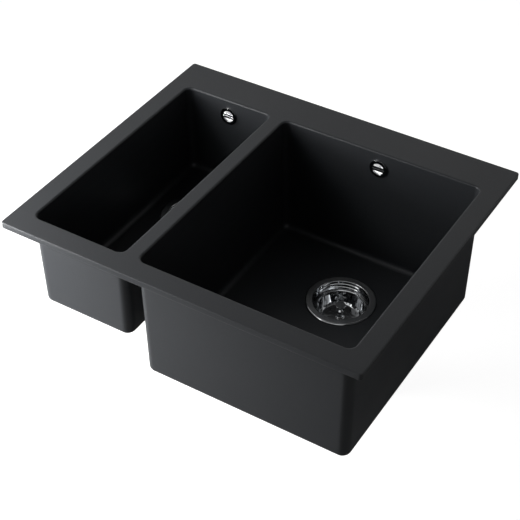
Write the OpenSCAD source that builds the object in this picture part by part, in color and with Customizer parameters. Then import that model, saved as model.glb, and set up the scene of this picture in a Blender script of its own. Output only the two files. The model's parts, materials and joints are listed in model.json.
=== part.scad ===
// Double bowl kitchen sink in moulded composite, with two basket strainers, two overflows,
// the pipes that join them under the bowls, and the clips that hold the rim down on a worktop.
// Origin at the middle of the rim's underside. Front is -Y, right is +X, up is +Z. Millimetres.

/* [Rim] */
// Width of the rim, left to right
rim_w = 600; // [590:1:680]
// Depth of the rim, front to back
rim_d = 508; // [500:1:540]
// Thickness of the rim
rim_t = 11; // [10:0.5:16]
// Plan radius of the rim's corners
rim_corner_r = 5; // [3:0.5:9]
// Rounding of the rim's top edge
rim_top_r = 1.5; // [0.5:0.5:2.5]
// Rounding of the rim's lower edge
rim_under_r = 2; // [0.5:0.5:2.5]
// Rim outside each bowl, left and right
side_rim = 33; // [33:1:40]
// Rim in front of the bowls
front_rim = 36; // [34:1:42]
// Rim behind the bowls
back_rim = 67; // [60:1:90]
// Rim between the two bowls
divider = 26; // [22:1:36]

/* [Bowls] */
// Width of the half bowl at the rim
half_w = 162; // [158:1:190]
// Depth of the main bowl from the rim's top to its floor
main_depth = 212; // [190:1:230]
// Depth of the half bowl from the rim's top to its floor
half_depth = 157; // [140:1:180]
// Thickness of a bowl's floor
floor_t = 8; // [7:0.5:12]
// Thickness of a bowl's wall just under the rim
wall_t = 3; // [3:0.5:5]
// Plan radius of a bowl's corners inside
bowl_corner_r = 12; // [8:1:20]
// Radius between a bowl's floor and walls inside
floor_fillet_r = 11; // [6:1:12]
// Rounding of the edge where a bowl meets the rim
lip_r = 3; // [1:0.5:4]
// Plan radius of a bowl's corners outside
shell_corner_r = 14.5; // [10:0.5:22]
// Rounding between a bowl's underside and its outer walls
shell_edge_r = 8; // [4:0.5:9]
// Inward run of the inner walls for each millimetre of depth
inner_slope = 0.03; // [0.01:0.005:0.03]
// Inward run of the outer walls for each millimetre of depth
outer_slope = 0.012; // [0:0.002:0.02]

/* [Strainers] */
// Distance of the drains from the bowls' back wall
drain_to_back = 122; // [110:1:150]
// Distance of each drain to the right of its bowl's middle
drain_shift = 7; // [0:1:8]
// Radius of the steel flange
flange_r = 57.5; // [54:0.5:58]
// Height of the flange at its edge
flange_t = 1.8; // [1.2:0.1:2.4]
// Rise of the flange from its edge to the throat
flange_rise = 0.5; // [0.2:0.1:1]
// Radius of the throat at the flange
throat_r = 45.5; // [44.5:0.1:45.6]
// Depth of the stepped throat
throat_drop = 15; // [10:0.5:18]
// Inner radius of the cup below the throat
cup_r = 41.3; // [40:0.1:42]
// Depth of the cup below the throat, down to the stopper's seat
cup_drop = 34.8; // [33:0.2:40]
// Thickness of the pressed steel
steel_t = 1.2; // [0.8:0.1:1.4]
// Depth of the basket
basket_drop = 24; // [20:0.5:26]
// Radius of the basket's flat bottom
basket_floor_r = 31; // [28:0.5:33]
// Number of slots round the basket
slot_count = 20; // [12:1:24]
// Number of small holes round the foot of the basket
hole_count = 36; // [20:1:40]
// Travel of the basket from draining down to closed
stopper_travel = 6; // [4:0.5:7]
// Radius of the knob's flat top
knob_r = 8.5; // [7:0.5:10]

/* [Overflows] */
// Distance of the overflow's middle below the rim's top
overflow_drop = 29.4; // [29:0.2:40]
// Outer radius of the overflow ring
ring_r = 15.4; // [14.5:0.1:16]
// Inner radius of the overflow ring
ring_hole_r = 11; // [9:0.5:11]
// Projection of the overflow ring from its seat
ring_t = 3.4; // [2.5:0.1:4.5]
// Height of the bar across the ring
bar_h = 6; // [5:0.5:8]
// Radius of the hose over its ribs
hose_r = 13; // [12.8:0.1:14]
// Spacing of the hose's ribs
rib_pitch = 5.5; // [4:0.5:8]
// Radius of the hose's bend
hose_bend_r = 35; // [30:1:40]

/* [Waste pipes] */
// Outer radius of the pipes
pipe_r = 20; // [19:0.5:20]
// Wall of the pipes
pipe_t = 2.2; // [1.6:0.2:3]
// Radius of the bend under the half bowl
pipe_bend_r = 32; // [30:1:40]
// Length of the outlet spigot
outlet_l = 45; // [30:1:70]

/* [Fixings] */
// Thickest worktop that the clips take
worktop_t = 18; // [14:0.5:20]
// Length of a clip's arm from its screw to its toe
clip_reach = 21; // [18:0.5:22]
// Width of a clip's arm
clip_w = 9; // [7:0.5:9]
// Width of the sealing strip
seal_w = 5; // [3:0.5:6]

/* [Hidden] */

$fn = 96;
// Sides of the round corners that a hull joins
hull_fn = 32;
// Length by which a cut runs past what it cuts
overrun = 1;

// Bowls
HALF = 0;
MAIN = 1;
main_w = rim_w - 2 * side_rim - divider - half_w;
bowl_l = rim_d - front_rim - back_rim;
half_x = -rim_w / 2 + side_rim + half_w / 2;
main_x = rim_w / 2 - side_rim - main_w / 2;
bowl_y = -rim_d / 2 + front_rim + bowl_l / 2;
bowl_back_y = bowl_y + bowl_l / 2;
function bowl_w(b) = b == MAIN ? main_w : half_w;
function bowl_x(b) = b == MAIN ? main_x : half_x;
function bowl_depth(b) = b == MAIN ? main_depth : half_depth;
function floor_z(b) = rim_t - bowl_depth(b);
function drain_x(b) = bowl_x(b) + drain_shift;
drain_y = bowl_back_y - drain_to_back;

// Sealing strip in its groove
seal_groove_d = 2.5;
seal_inset = 3.5;
seal_corner_r = 9;

// Seat of the flange in the bowl's floor, heights from the floor
seat_gap = 1;
seat_r = flange_r + seat_gap;
flange_seal_t = 1;
flange_proud_share = 0.2;
seat_d = flange_seal_t + (1 - flange_proud_share) * flange_t;
dish_r = 96;
dish_d = 1.2;
drain_hole_r = 47;
flange_z = -seat_d + flange_seal_t;
flange_bead_r = flange_t / 2;
seal_hole_r = drain_hole_r + seat_gap;
seal_rim = 0.5;

// Strainer cup, heights from the floor
throat_steps = 3;
step_drop = throat_drop / throat_steps;
step_in = (throat_r - cup_r) / throat_steps / 2;
throat_z = flange_z + flange_t + flange_rise;
cup_top_z = throat_z - throat_drop;
cup_out_r = cup_r + steel_t;
throat_out_r = throat_r + steel_t * 2 / 3;
seat_z = cup_top_z - cup_drop;
seat_lip = 10.3;
sump_r = cup_r - seat_lip;
sump_drop = 11.2;
hub_z = seat_z - sump_drop;
hub_r = 9;
hub_t = 2;
spoke_w = 5;
spoke_count = 4;

// Centre screw and its nut
screw_r = 4;
screw_gap = 0.1;
head_r = 6.5;
socket_gap = 0.4;
stem_r = 3;
socket_floor = 0.7;
nut_r = 7.5;
nut_h = 8;

// Basket, stopper and knob, heights from the floor at rest
basket_gap = 0.6;
basket_t = 0.8;
basket_rim_r = 0.9;
basket_rim_z = cup_top_z;
basket_z = basket_rim_z - basket_drop;
basket_top_r = cup_r - basket_gap - basket_rim_r;
basket_foot_r = 4;
slot_w = 2.2;
slot_h = 10;
slot_top = 2.6;
hole_r = 1;
hole_up = 3.4;
stopper_t = 4;
stopper_over = 2.5;
stopper_r = sump_r + stopper_over;
stopper_lip_t = 1.6;
stopper_z = basket_z - stopper_t;
stopper_nut_r = 6;
stopper_nut_h = 3;
knob_top_z = -5;
knob_top_t = 1.4;
neck_r = 2.4;
neck_share = 0.33;
bulb_r = 5.8;
bulb_share = 0.53;
knob_base_r = 7.4;
knob_base_t = 1.6;
knob_base_z = basket_z + basket_t;
knob_h = knob_top_z - knob_base_z;
head_gap = 0.84;
head_top_z = stopper_z - stopper_nut_h - stopper_travel - head_gap;
stem_in = 0.5;
stem_end_z = head_top_z - stem_in;
socket_z = stem_end_z - stopper_travel - socket_floor;

// Plastic waste body, heights from the floor
gasket_t = 3;
waste_top_z = -floor_t - gasket_t;
waste_flange_r = 57;
waste_flange_t = 4;
waste_wall = 2.5;
chamber_r = 47;
chamber_out_r = chamber_r + waste_wall;
sump_room = 9;
chamber_z = hub_z - hub_t - sump_room;
funnel_drop = 18;
spigot_over = 3.9;
spigot_r = pipe_r + spigot_over;
spigot_bore_in = 1;
spigot_bore_r = pipe_r - spigot_bore_in;
spigot_l = 20;
spigot_z = chamber_z - funnel_drop - spigot_l;
boss_r = 10.5;
boss_h = 12;
boss_gap = 3;
boss_top_z = hub_z - hub_t - boss_gap;
rib_t = 3;
rib_h = 7;
rib_count = 3;
nut_z = boss_top_z - boss_h;
screw_l = hub_z - nut_z;
inlet_drop = 29;
inlet_z = waste_top_z - inlet_drop;
inlet_l = 6;
inlet_root_share = 0.9;
inlet_cut_share = 0.7;

// Hose and the noses that it is pushed on
hose_sides = 8;
hose_rib_d = 1.6;
cuff_in = 0.6;
cuff_r = hose_r - cuff_in;
cuff_l = 2 * hose_r;
hose_bore_r = 9.8;
nose_r = 8.5;
nose_bore_r = 6.5;
nose_l = 20;
collar_r = 12;
collar_t = 2.5;
hose_gap = 0.2;
bend_rings = 6;
band_gap = 0.3;
band_t = 1.2;
band_w = 9;
band_in = 5;
band_box_l = 8;
band_box_w = 11;
band_box_h = 6;

// Overflow, lengths from the ring's seat on the bowl's inner wall
overflow_z = rim_t - overflow_drop;
spot_d = 0.5;
spot_gap = 0.3;
ring_seat_y = bowl_back_y - inner_slope * overflow_drop + spot_d;
body_seat_y = bowl_back_y + wall_t - outer_slope * (overflow_drop - rim_t) - spot_d / 2;
overflow_wall = body_seat_y - ring_seat_y;
overflow_hole_over = 1.5;
overflow_hole_r = ring_hole_r + overflow_hole_over;
sleeve_r = overflow_hole_r - spot_gap;
sleeve_t = 1.6;
overflow_flange_over = 3.8;
overflow_flange_r = overflow_hole_r + overflow_flange_over;
overflow_flange_t = 3;
overflow_gasket_t = 2;
overflow_depth = 25;
overflow_back_t = 2;
overflow_chamber_r = 14;
bar_t = 1.8;
bar_in = 0.7;
stud_r = 2;
stud_boss_r = 4.2;
stud_boss_l = 6;
hose_back = 19;
hose_y = ring_seat_y + hose_back;
collar_drop = 23;

// Screwed pipe joints
washer_t = 2;
pipe_collar_t = 3;
nut_lip_t = 3;
thread_gap = 0.1;
ring_nut_t = 3.5;
ring_nut_grip = 14;
lug_count = 10;
lug_r = 1.6;
lip_gap = 0.4;
tee_wall = 3;
tee_r = pipe_r + tee_wall;
tee_half = tee_r + tee_wall;
tee_drop = 38;
socket_l = 22;
socket_wall_gap = 0.3;
socket_spare = 2;
tee_arm = 60;
bend_arm = 26;
main_spigot_z = floor_z(MAIN) + spigot_z;
half_spigot_z = floor_z(HALF) + spigot_z;
cross_z = main_spigot_z - washer_t - tee_drop;
tee_end_x = drain_x(MAIN) - tee_arm;
bend_end_x = drain_x(HALF) + pipe_bend_r + bend_arm;
insertion = socket_l - socket_spare;

// Clips, given as place, outward direction and name order of NODES
clip_wall_gap = 5.2;
clip_t = 2;
clip_toe_h = 1.3;
clip_toe_l = 3;
clip_screw_r = 2;
clip_screw_gap = 0.08;
clip_hole_r = clip_screw_r + clip_screw_gap;
clip_head_r = 3.5;
clip_head_h = 2;
clip_key_r = 1.9;
clip_key_d = 1.3;
clip_head_gap = 0.05;
insert_r = 3.5;
insert_l = 7;
insert_spare = 0.5;
insert_share = 0.8;
clip_top_z = -worktop_t - clip_toe_h;
clip_front_y = -rim_d / 2 + front_rim - wall_t - clip_wall_gap;
clip_side_x = rim_w / 2 - side_rim + wall_t + clip_wall_gap;
clip_back_y = rim_d / 2 - (rim_w / 2 - clip_side_x);
clip_left_in = 26;
clip_right_in = 63;
clips = [
    [half_x, clip_front_y, 270],
    [main_x, clip_front_y, 270],
    [side_rim + clip_left_in - rim_w / 2, clip_back_y, 90],
    [rim_w / 2 - side_rim - clip_right_in, clip_back_y, 90],
    [-clip_side_x, bowl_y, 180],
    [clip_side_x, bowl_y, 0]
];

// Colours
matt_black = [0.17, 0.17, 0.18];
steel = [0.78, 0.79, 0.8];
brass = [0.76, 0.6, 0.32];
rubber = [0.12, 0.12, 0.12];
white = [0.93, 0.93, 0.92];
grey = [0.6, 0.61, 0.62];

// Plan of a rectangle with round corners, centred
module rounded_plan(w, d, r) {
    square([w - 2 * r, d], center = true);
    square([w, d - 2 * r], center = true);
    at_corners(w, d, r)
        circle(r);
}

// Repeats its children at the four corner centres of a rounded rectangle
module at_corners(w, d, r) {
    for (x = [-1, 1], y = [-1, 1])
        translate([x * (w / 2 - r), y * (d / 2 - r), 0])
            children();
}

// Carries a section, drawn with x outward from the wall, round a rounded rectangle
module round_the_edge(w, d, r) {
    for (turn = [0 : 3]) {
        across = turn % 2 == 0 ? w : d;
        along = turn % 2 == 0 ? d : w;
        rotate([0, 0, 90 * turn]) {
            translate([across / 2, along / 2 - r, 0])
                rotate([90, 0, 0])
                    linear_extrude(along - 2 * r)
                        children();
            translate([across / 2 - r, along / 2 - r, 0])
                rotate_extrude(angle = 90)
                    translate([r, 0])
                        children();
        }
    }
}

// A ring with a square section, standing on z
module washer(outer_r, inner_r, t, z) {
    translate([0, 0, z])
        difference() {
            cylinder(h = t, r = outer_r);
            translate([0, 0, -overrun])
                cylinder(h = t + 2 * overrun, r = inner_r);
        }
}

// A straight tube from z, upward
module tube(outer_r, inner_r, l, z) {
    washer(outer_r, inner_r, l, z);
}

module at_drain(b) {
    translate([drain_x(b), drain_y, floor_z(b)])
        children();
}

// Local z points into the bowl from the overflow ring's seat, local y is up
module at_overflow(b) {
    translate([bowl_x(b), ring_seat_y, overflow_z])
        rotate([90, 0, 0])
            children();
}

module bowl_shell(b) {
    w = bowl_w(b) + 2 * wall_t;
    l = bowl_l + 2 * wall_t;
    drop = bowl_depth(b) + floor_t - rim_t;
    inset = outer_slope * (drop - shell_edge_r);
    translate([bowl_x(b), bowl_y, 0])
        hull() {
            at_corners(w, l, shell_corner_r)
                cylinder(h = rim_t / 2, r = shell_corner_r, $fn = hull_fn);
            at_corners(w - 2 * inset, l - 2 * inset, shell_corner_r)
                translate([0, 0, shell_edge_r - drop])
                    rotate_extrude($fn = hull_fn)
                        intersection() {
                            translate([shell_corner_r - shell_edge_r, 0])
                                circle(shell_edge_r, $fn = hull_fn);
                            translate([0, -shell_edge_r])
                                square([shell_corner_r, 2 * shell_edge_r]);
                        }
        }
}

module bowl_cavity(b) {
    inset = inner_slope * (bowl_depth(b) - floor_fillet_r);
    translate([bowl_x(b), bowl_y, 0])
        hull() {
            at_corners(bowl_w(b), bowl_l, bowl_corner_r)
                translate([0, 0, rim_t])
                    cylinder(h = overrun, r = bowl_corner_r, $fn = hull_fn);
            at_corners(bowl_w(b) - 2 * inset, bowl_l - 2 * inset, floor_fillet_r)
                translate([0, 0, floor_z(b) + floor_fillet_r])
                    rotate_extrude($fn = hull_fn)
                        intersection() {
                            circle(floor_fillet_r, $fn = hull_fn);
                            translate([0, -floor_fillet_r])
                                square([floor_fillet_r, 2 * floor_fillet_r]);
                        }
        }
}

// The round lip where a bowl meets the rim, as the section to cut away
module lip_section() {
    difference() {
        translate([-overrun, rim_t - lip_r])
            square([lip_r + overrun, lip_r + overrun]);
        translate([lip_r, rim_t - lip_r])
            circle(lip_r);
    }
}

module rim_plate() {
    difference() {
        linear_extrude(rim_t)
            rounded_plan(rim_w, rim_d, rim_corner_r);
        round_the_edge(rim_w, rim_d, rim_corner_r)
            difference() {
                translate([-rim_top_r, rim_t - rim_top_r])
                    square(rim_top_r + overrun);
                translate([-rim_top_r, rim_t - rim_top_r])
                    circle(rim_top_r);
            }
        round_the_edge(rim_w, rim_d, rim_corner_r)
            difference() {
                translate([-rim_under_r, -overrun])
                    square(rim_under_r + overrun);
                translate([-rim_under_r, rim_under_r])
                    circle(rim_under_r);
            }
    }
}

// Groove or strip under the rim's edge
module seal_strip(h, z, w) {
    translate([0, 0, z])
        linear_extrude(h)
            difference() {
                rounded_plan(rim_w - 2 * seal_inset, rim_d - 2 * seal_inset, seal_corner_r);
                rounded_plan(
                    rim_w - 2 * seal_inset - 2 * w,
                    rim_d - 2 * seal_inset - 2 * w,
                    seal_corner_r - w
                );
            }
}

// Hole, flange seat and shallow dish round a drain
module drain_cut(b) {
    at_drain(b) {
        translate([0, 0, -floor_t - overrun])
            cylinder(h = floor_t + 2 * overrun, r = drain_hole_r);
        translate([0, 0, -seat_d])
            cylinder(h = seat_d + overrun, r = seat_r);
        if (b == MAIN)
            rotate_extrude()
                polygon([
                    [0, -dish_d],
                    [seat_r, -dish_d],
                    [dish_r, 0],
                    [dish_r, overrun],
                    [0, overrun]
                ]);
    }
}

// Hole for an overflow, with a flat spot for its ring inside and its gasket outside
module overflow_cut(b) {
    at_overflow(b) {
        translate([0, 0, -wall_t - 2 * overrun])
            cylinder(h = wall_t + 4 * overrun, r = overflow_hole_r);
        cylinder(h = 2 * overrun, r = ring_r + spot_gap);
        translate([0, 0, -overflow_wall - 2 * overrun])
            cylinder(h = 2 * overrun, r = overflow_flange_r + spot_gap);
    }
}

module sink_body() {
    color(matt_black)
        difference() {
            union() {
                rim_plate();
                bowl_shell(HALF);
                bowl_shell(MAIN);
            }
            for (b = [HALF, MAIN]) {
                bowl_cavity(b);
                translate([bowl_x(b), bowl_y, 0])
                    round_the_edge(bowl_w(b), bowl_l, bowl_corner_r)
                        lip_section();
                drain_cut(b);
                overflow_cut(b);
            }
            seal_strip(seal_groove_d + overrun, -overrun, seal_w);
            for (c = clips)
                translate([c[0], c[1], -overrun])
                    cylinder(h = insert_l + insert_spare + overrun, r = insert_r);
        }
}

module rim_seal() {
    color(rubber)
        seal_strip(seal_groove_d, 0, seal_w);
}

module flange_seal(b) {
    color(rubber)
        at_drain(b)
            washer(flange_r - seal_rim, seal_hole_r, flange_seal_t, -seat_d);
}

// Inner outline of the stepped throat, from the flange down to the cup
function throat_outline() = [
    for (i = [0 : throat_steps - 1])
        for (edge = [0, 1])
            [throat_r - (2 * i + edge) * step_in, throat_z - (i + edge) * step_drop]
];

module strainer_cup(b) {
    color(steel)
        at_drain(b) {
            rotate_extrude() {
                translate([flange_r - flange_bead_r, flange_z + flange_bead_r])
                    circle(flange_bead_r);
                polygon(concat(
                    [
                        [sump_r + steel_t, seat_z - steel_t],
                        [sump_r + steel_t, hub_z - hub_t],
                        [sump_r, hub_z - hub_t],
                        [sump_r, seat_z],
                        [cup_r, seat_z],
                        [cup_r, cup_top_z]
                    ],
                    [for (i = [1 : len(throat_outline())]) throat_outline()[len(throat_outline()) - i]],
                    [
                        [flange_r - flange_bead_r, flange_z + flange_t],
                        [flange_r - flange_bead_r, flange_z],
                        [throat_out_r, flange_z],
                        [cup_out_r, cup_top_z - steel_t],
                        [cup_out_r, seat_z - steel_t]
                    ]
                ));
            }
            translate([0, 0, hub_z - hub_t])
                difference() {
                    union() {
                        cylinder(h = hub_t, r = hub_r);
                        for (i = [0 : spoke_count - 1])
                            rotate([0, 0, 360 / spoke_count * i])
                                translate([0, -spoke_w / 2, 0])
                                    cube([sump_r + steel_t / 2, spoke_w, hub_t]);
                    }
                    translate([0, 0, -overrun])
                        cylinder(h = hub_t + 2 * overrun, r = screw_r + screw_gap);
                }
        }
}

module body_gasket(b) {
    color(rubber)
        at_drain(b)
            washer(waste_flange_r - seal_rim, seal_hole_r, gasket_t, -floor_t - gasket_t);
}

// Nose for a hose, pointing up local z from its collar
module hose_nose() {
    translate([0, 0, -collar_t])
        cylinder(h = collar_t, r = collar_r);
    cylinder(h = nose_l, r = nose_r);
}

module waste_body(b) {
    color(white)
        at_drain(b)
            difference() {
                union() {
                    rotate_extrude()
                        polygon([
                            [chamber_r, waste_top_z],
                            [waste_flange_r, waste_top_z],
                            [waste_flange_r, waste_top_z - waste_flange_t],
                            [chamber_out_r, waste_top_z - waste_flange_t],
                            [chamber_out_r, chamber_z - waste_wall / 2],
                            [spigot_r, chamber_z - funnel_drop - waste_wall / 2],
                            [spigot_r, spigot_z],
                            [spigot_bore_r, spigot_z],
                            [spigot_bore_r, chamber_z - funnel_drop + waste_wall / 2],
                            [chamber_r, chamber_z + waste_wall / 2]
                        ]);
                    translate([0, 0, nut_z])
                        cylinder(h = boss_h, r = boss_r);
                    for (i = [0 : rib_count - 1])
                        rotate([0, 0, 360 / rib_count * i])
                            translate([0, -rib_t / 2, boss_top_z - rib_h])
                                cube([chamber_r + waste_wall / 2, rib_t, rib_h]);
                    translate([-drain_shift, chamber_r, inlet_z])
                        rotate([-90, 0, 0]) {
                            cylinder(h = waste_wall + inlet_l, r = collar_r);
                            translate([0, 0, waste_wall + inlet_l])
                                hose_nose();
                        }
                    translate([-drain_shift, inlet_root_share * chamber_r, inlet_z])
                        rotate([-90, 0, 0])
                            cylinder(h = waste_wall + inlet_l, r = collar_r);
                }
                translate([-drain_shift, inlet_cut_share * chamber_r, inlet_z])
                    rotate([-90, 0, 0])
                        cylinder(h = chamber_r + nose_l + inlet_l, r = nose_bore_r);
                intersection() {
                    translate([0, 0, inlet_z - collar_r - overrun])
                        cylinder(h = 2 * collar_r + 2 * overrun, r = chamber_r);
                    translate([-drain_shift, 0, inlet_z])
                        rotate([-90, 0, 0])
                            cylinder(h = chamber_out_r, r = collar_r + overrun);
                }
                translate([0, 0, nut_z - overrun])
                    cylinder(h = nut_h + overrun, r = nut_r + screw_gap, $fn = 6);
                translate([0, 0, nut_z])
                    cylinder(h = boss_h + overrun, r = screw_r + screw_gap);
            }
}

module centre_screw(b) {
    color(steel)
        at_drain(b)
            difference() {
                union() {
                    translate([0, 0, hub_z])
                        cylinder(h = head_top_z - hub_z, r = head_r);
                    translate([0, 0, nut_z])
                        cylinder(h = screw_l + steel_t, r = screw_r);
                }
                translate([0, 0, socket_z])
                    cylinder(h = head_top_z - socket_z + overrun, r = stem_r + socket_gap);
            }
}

module brass_nut(b) {
    color(brass)
        at_drain(b)
            translate([0, 0, nut_z])
                difference() {
                    cylinder(h = nut_h - screw_gap, r = nut_r, $fn = 6);
                    translate([0, 0, -overrun])
                        cylinder(h = nut_h + 2 * overrun, r = screw_r + screw_gap);
                }
}

module basket(b) {
    foot_z = basket_z + basket_foot_r;
    color(steel)
        at_drain(b)
            difference() {
                rotate_extrude() {
                    translate([basket_top_r, basket_rim_z])
                        circle(basket_rim_r);
                    polygon([
                        [stem_r + screw_gap, basket_z],
                        [basket_floor_r, basket_z],
                        [basket_floor_r + basket_foot_r, foot_z],
                        [basket_top_r, basket_rim_z],
                        [basket_top_r - basket_t, basket_rim_z],
                        [basket_floor_r + basket_foot_r - basket_t, foot_z + basket_t / 2],
                        [basket_floor_r - basket_t / 2, basket_z + basket_t],
                        [stem_r + screw_gap, basket_z + basket_t]
                    ]);
                }
                for (i = [0 : slot_count - 1])
                    rotate([0, 0, 360 / slot_count * i])
                        translate([basket_floor_r, -slot_w / 2, basket_rim_z - slot_top - slot_h])
                            cube([cup_r - basket_floor_r, slot_w, slot_h]);
                for (i = [0 : hole_count - 1])
                    rotate([0, 0, 360 / hole_count * (i + 0.5)])
                        translate([basket_floor_r - basket_foot_r, 0, basket_z + hole_up])
                            rotate([0, 90, 0])
                                cylinder(h = 2 * basket_foot_r + overrun, r = hole_r, $fn = 24);
            }
}

module stopper(b) {
    color(rubber)
        at_drain(b)
            rotate_extrude()
                polygon([
                    [stem_r + screw_gap, stopper_z],
                    [basket_floor_r - stopper_over, stopper_z],
                    [stopper_r, stopper_z + stopper_t - stopper_lip_t - screw_gap],
                    [stopper_r, stopper_z + stopper_t - screw_gap],
                    [stem_r + screw_gap, stopper_z + stopper_t - screw_gap]
                ]);
}

module stopper_nut(b) {
    color(brass)
        at_drain(b)
            translate([0, 0, stopper_z - stopper_nut_h])
                difference() {
                    cylinder(h = stopper_nut_h - screw_gap, r = stopper_nut_r, $fn = 6);
                    translate([0, 0, -overrun])
                        cylinder(h = stopper_nut_h + 2 * overrun, r = stem_r + screw_gap);
                }
}

// Flat top on a cone, a neck, a bulb, a round base on the basket, and the stem below it
module knob(b) {
    neck_z = knob_top_z - neck_share * knob_h;
    bulb_z = knob_top_z - bulb_share * knob_h;
    color(steel)
        at_drain(b)
            rotate_extrude() {
                polygon([
                    [0, stem_end_z],
                    [stem_r, stem_end_z],
                    [stem_r, knob_base_z],
                    [knob_base_r, knob_base_z],
                    [knob_base_r, knob_base_z + knob_base_t],
                    [stem_r, knob_base_z + 2 * knob_base_t],
                    [stem_r, bulb_z],
                    [neck_r, bulb_z],
                    [neck_r, neck_z],
                    [knob_r, knob_top_z - knob_top_t],
                    [knob_r, knob_top_z],
                    [0, knob_top_z]
                ]);
                intersection() {
                    translate([0, bulb_z])
                        circle(bulb_r);
                    translate([0, bulb_z - bulb_r])
                        square(2 * bulb_r);
                }
            }
}

module overflow_ring(b) {
    color(steel)
        at_overflow(b) {
            rotate_extrude()
                polygon([
                    [ring_hole_r, 0],
                    [ring_r, 0],
                    [ring_r, ring_t / 2],
                    [ring_r - ring_t / 4, ring_t * 0.85],
                    [ring_r - ring_t / 2, ring_t],
                    [ring_hole_r + ring_t / 4, ring_t],
                    [ring_hole_r, ring_t * 0.75]
                ]);
            translate([0, 0, bar_in])
                intersection() {
                    translate([-ring_r, -bar_h / 2, 0])
                        cube([2 * ring_r, bar_h, bar_t]);
                    cylinder(h = bar_t, r = ring_hole_r + ring_t / 8);
                }
        }
}

module overflow_stud(b) {
    stud_end = overflow_wall + overflow_gasket_t + overflow_depth - overflow_back_t;
    color(steel)
        at_overflow(b)
            translate([0, 0, -stud_end])
                cylinder(h = stud_end + bar_in, r = stud_r);
}

module overflow_gasket(b) {
    color(rubber)
        at_overflow(b)
            washer(
                overflow_flange_r - seal_rim,
                overflow_hole_r,
                overflow_gasket_t,
                -overflow_wall - overflow_gasket_t
            );
}

module overflow_body(b) {
    front = overflow_wall + overflow_gasket_t;
    color(white)
        at_overflow(b)
            difference() {
                union() {
                    translate([0, 0, -front])
                        cylinder(h = front - spot_gap, r = sleeve_r);
                    translate([0, 0, -front - overflow_flange_t])
                        cylinder(h = overflow_flange_t, r = overflow_flange_r);
                    translate([0, 0, -front - overflow_depth])
                        cylinder(h = overflow_depth, r = overflow_chamber_r);
                    translate([0, 0, -hose_back])
                        rotate([90, 0, 0]) {
                            cylinder(h = collar_drop, r = collar_r);
                            translate([0, 0, collar_drop])
                                hose_nose();
                        }
                }
                difference() {
                    translate([0, 0, -front - overflow_depth + overflow_back_t])
                        cylinder(h = front + overflow_depth, r = sleeve_r - sleeve_t);
                    translate([0, 0, -front - overflow_depth])
                        cylinder(h = overflow_back_t + stud_boss_l, r = stud_boss_r);
                }
                translate([0, 0, -front - overflow_depth + overflow_back_t])
                    cylinder(h = front + overflow_depth, r = stud_r + screw_gap);
                translate([0, -overflow_chamber_r / 2, -hose_back])
                    rotate([90, 0, 0])
                        cylinder(h = collar_drop + nose_l, r = nose_bore_r);
            }
}

// The hose runs down behind the bowl, round one bend and forward to the waste body
function hose_top(b) = overflow_z - collar_drop - hose_gap;
function hose_low(b) = floor_z(b) + inlet_z;
hose_front_y = drain_y + chamber_r + waste_wall + inlet_l + hose_gap;
function hose_fall(b) = hose_top(b) - hose_low(b) - hose_bend_r;
hose_arc = PI / 2 * hose_bend_r;
hose_run = hose_y - hose_bend_r - hose_front_y;
function hose_l(b) = hose_fall(b) + hose_arc + hose_run;

// Place and heading on the hose's middle line at length s, as y, z and the angle turned
function hose_at(b, s) =
    let (turned = max(0, min(1, (s - hose_fall(b)) / hose_arc)) * 90)
    let (down = min(s, hose_fall(b)))
    let (on = max(0, s - hose_fall(b) - hose_arc))
    [
        hose_y - hose_bend_r * (1 - cos(turned)) - on,
        hose_top(b) - down - hose_bend_r * sin(turned),
        turned
    ];

function hose_ring(b, s, r) =
    let (p = hose_at(b, s))
    [
        for (i = [0 : hose_sides - 1])
            let (a = 360 / hose_sides * (i + 0.5))
            [
                bowl_x(b) + r * cos(a),
                p[0] + r * sin(a) * cos(p[2]),
                p[1] + r * sin(a) * sin(p[2])
            ]
    ];

function quads(a, b) = [
    for (i = [0 : hose_sides - 1])
        let (j = (i + 1) % hose_sides)
        each [[a + i, a + j, b + j], [a + i, b + j, b + i]]
];

module overflow_hose(b) {
    l = hose_l(b);
    ribs = floor((l - 2 * cuff_l) / rib_pitch);
    pitch = (l - 2 * cuff_l) / ribs;
    outer = concat(
        [[0, cuff_r]],
        [
            for (i = [0 : ribs - 1])
                each [[cuff_l + i * pitch, hose_r - hose_rib_d], [cuff_l + (i + 0.5) * pitch, hose_r]]
        ],
        [[l - cuff_l, hose_r - hose_rib_d], [l, cuff_r]]
    );
    inner = concat(
        [l],
        [for (i = [0 : bend_rings]) hose_fall(b) + hose_arc * (1 - i / bend_rings)],
        [0]
    );
    rings = concat(
        [for (o = outer) hose_ring(b, o[0], o[1])],
        [for (s = inner) hose_ring(b, s, hose_bore_r)]
    );
    count = len(rings);
    color(grey)
        polyhedron(
            points = [for (ring = rings) each ring],
            faces = [
                for (k = [0 : count - 1])
                    each quads(k * hose_sides, (k + 1) % count * hose_sides)
            ]
        );
}

// One band round the end of a hose, with its screw box, local z along the hose
module hose_band() {
    inner_r = cuff_r + band_gap;
    difference() {
        union() {
            cylinder(h = band_w, r = inner_r + band_t);
            translate([inner_r, -band_box_w / 2, (band_w - band_box_l) / 2])
                cube([band_box_h, band_box_w, band_box_l]);
        }
        translate([0, 0, -overrun])
            cylinder(h = band_w + 2 * overrun, r = inner_r);
    }
}

module hose_bands() {
    color(steel)
        for (b = [HALF, MAIN]) {
            translate([bowl_x(b), hose_y, hose_top(b) - band_in - band_w])
                rotate([0, 0, 90])
                    hose_band();
            translate([bowl_x(b), hose_front_y + band_in, hose_low(b)])
                rotate([-90, 90, 0])
                    hose_band();
        }
}

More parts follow.
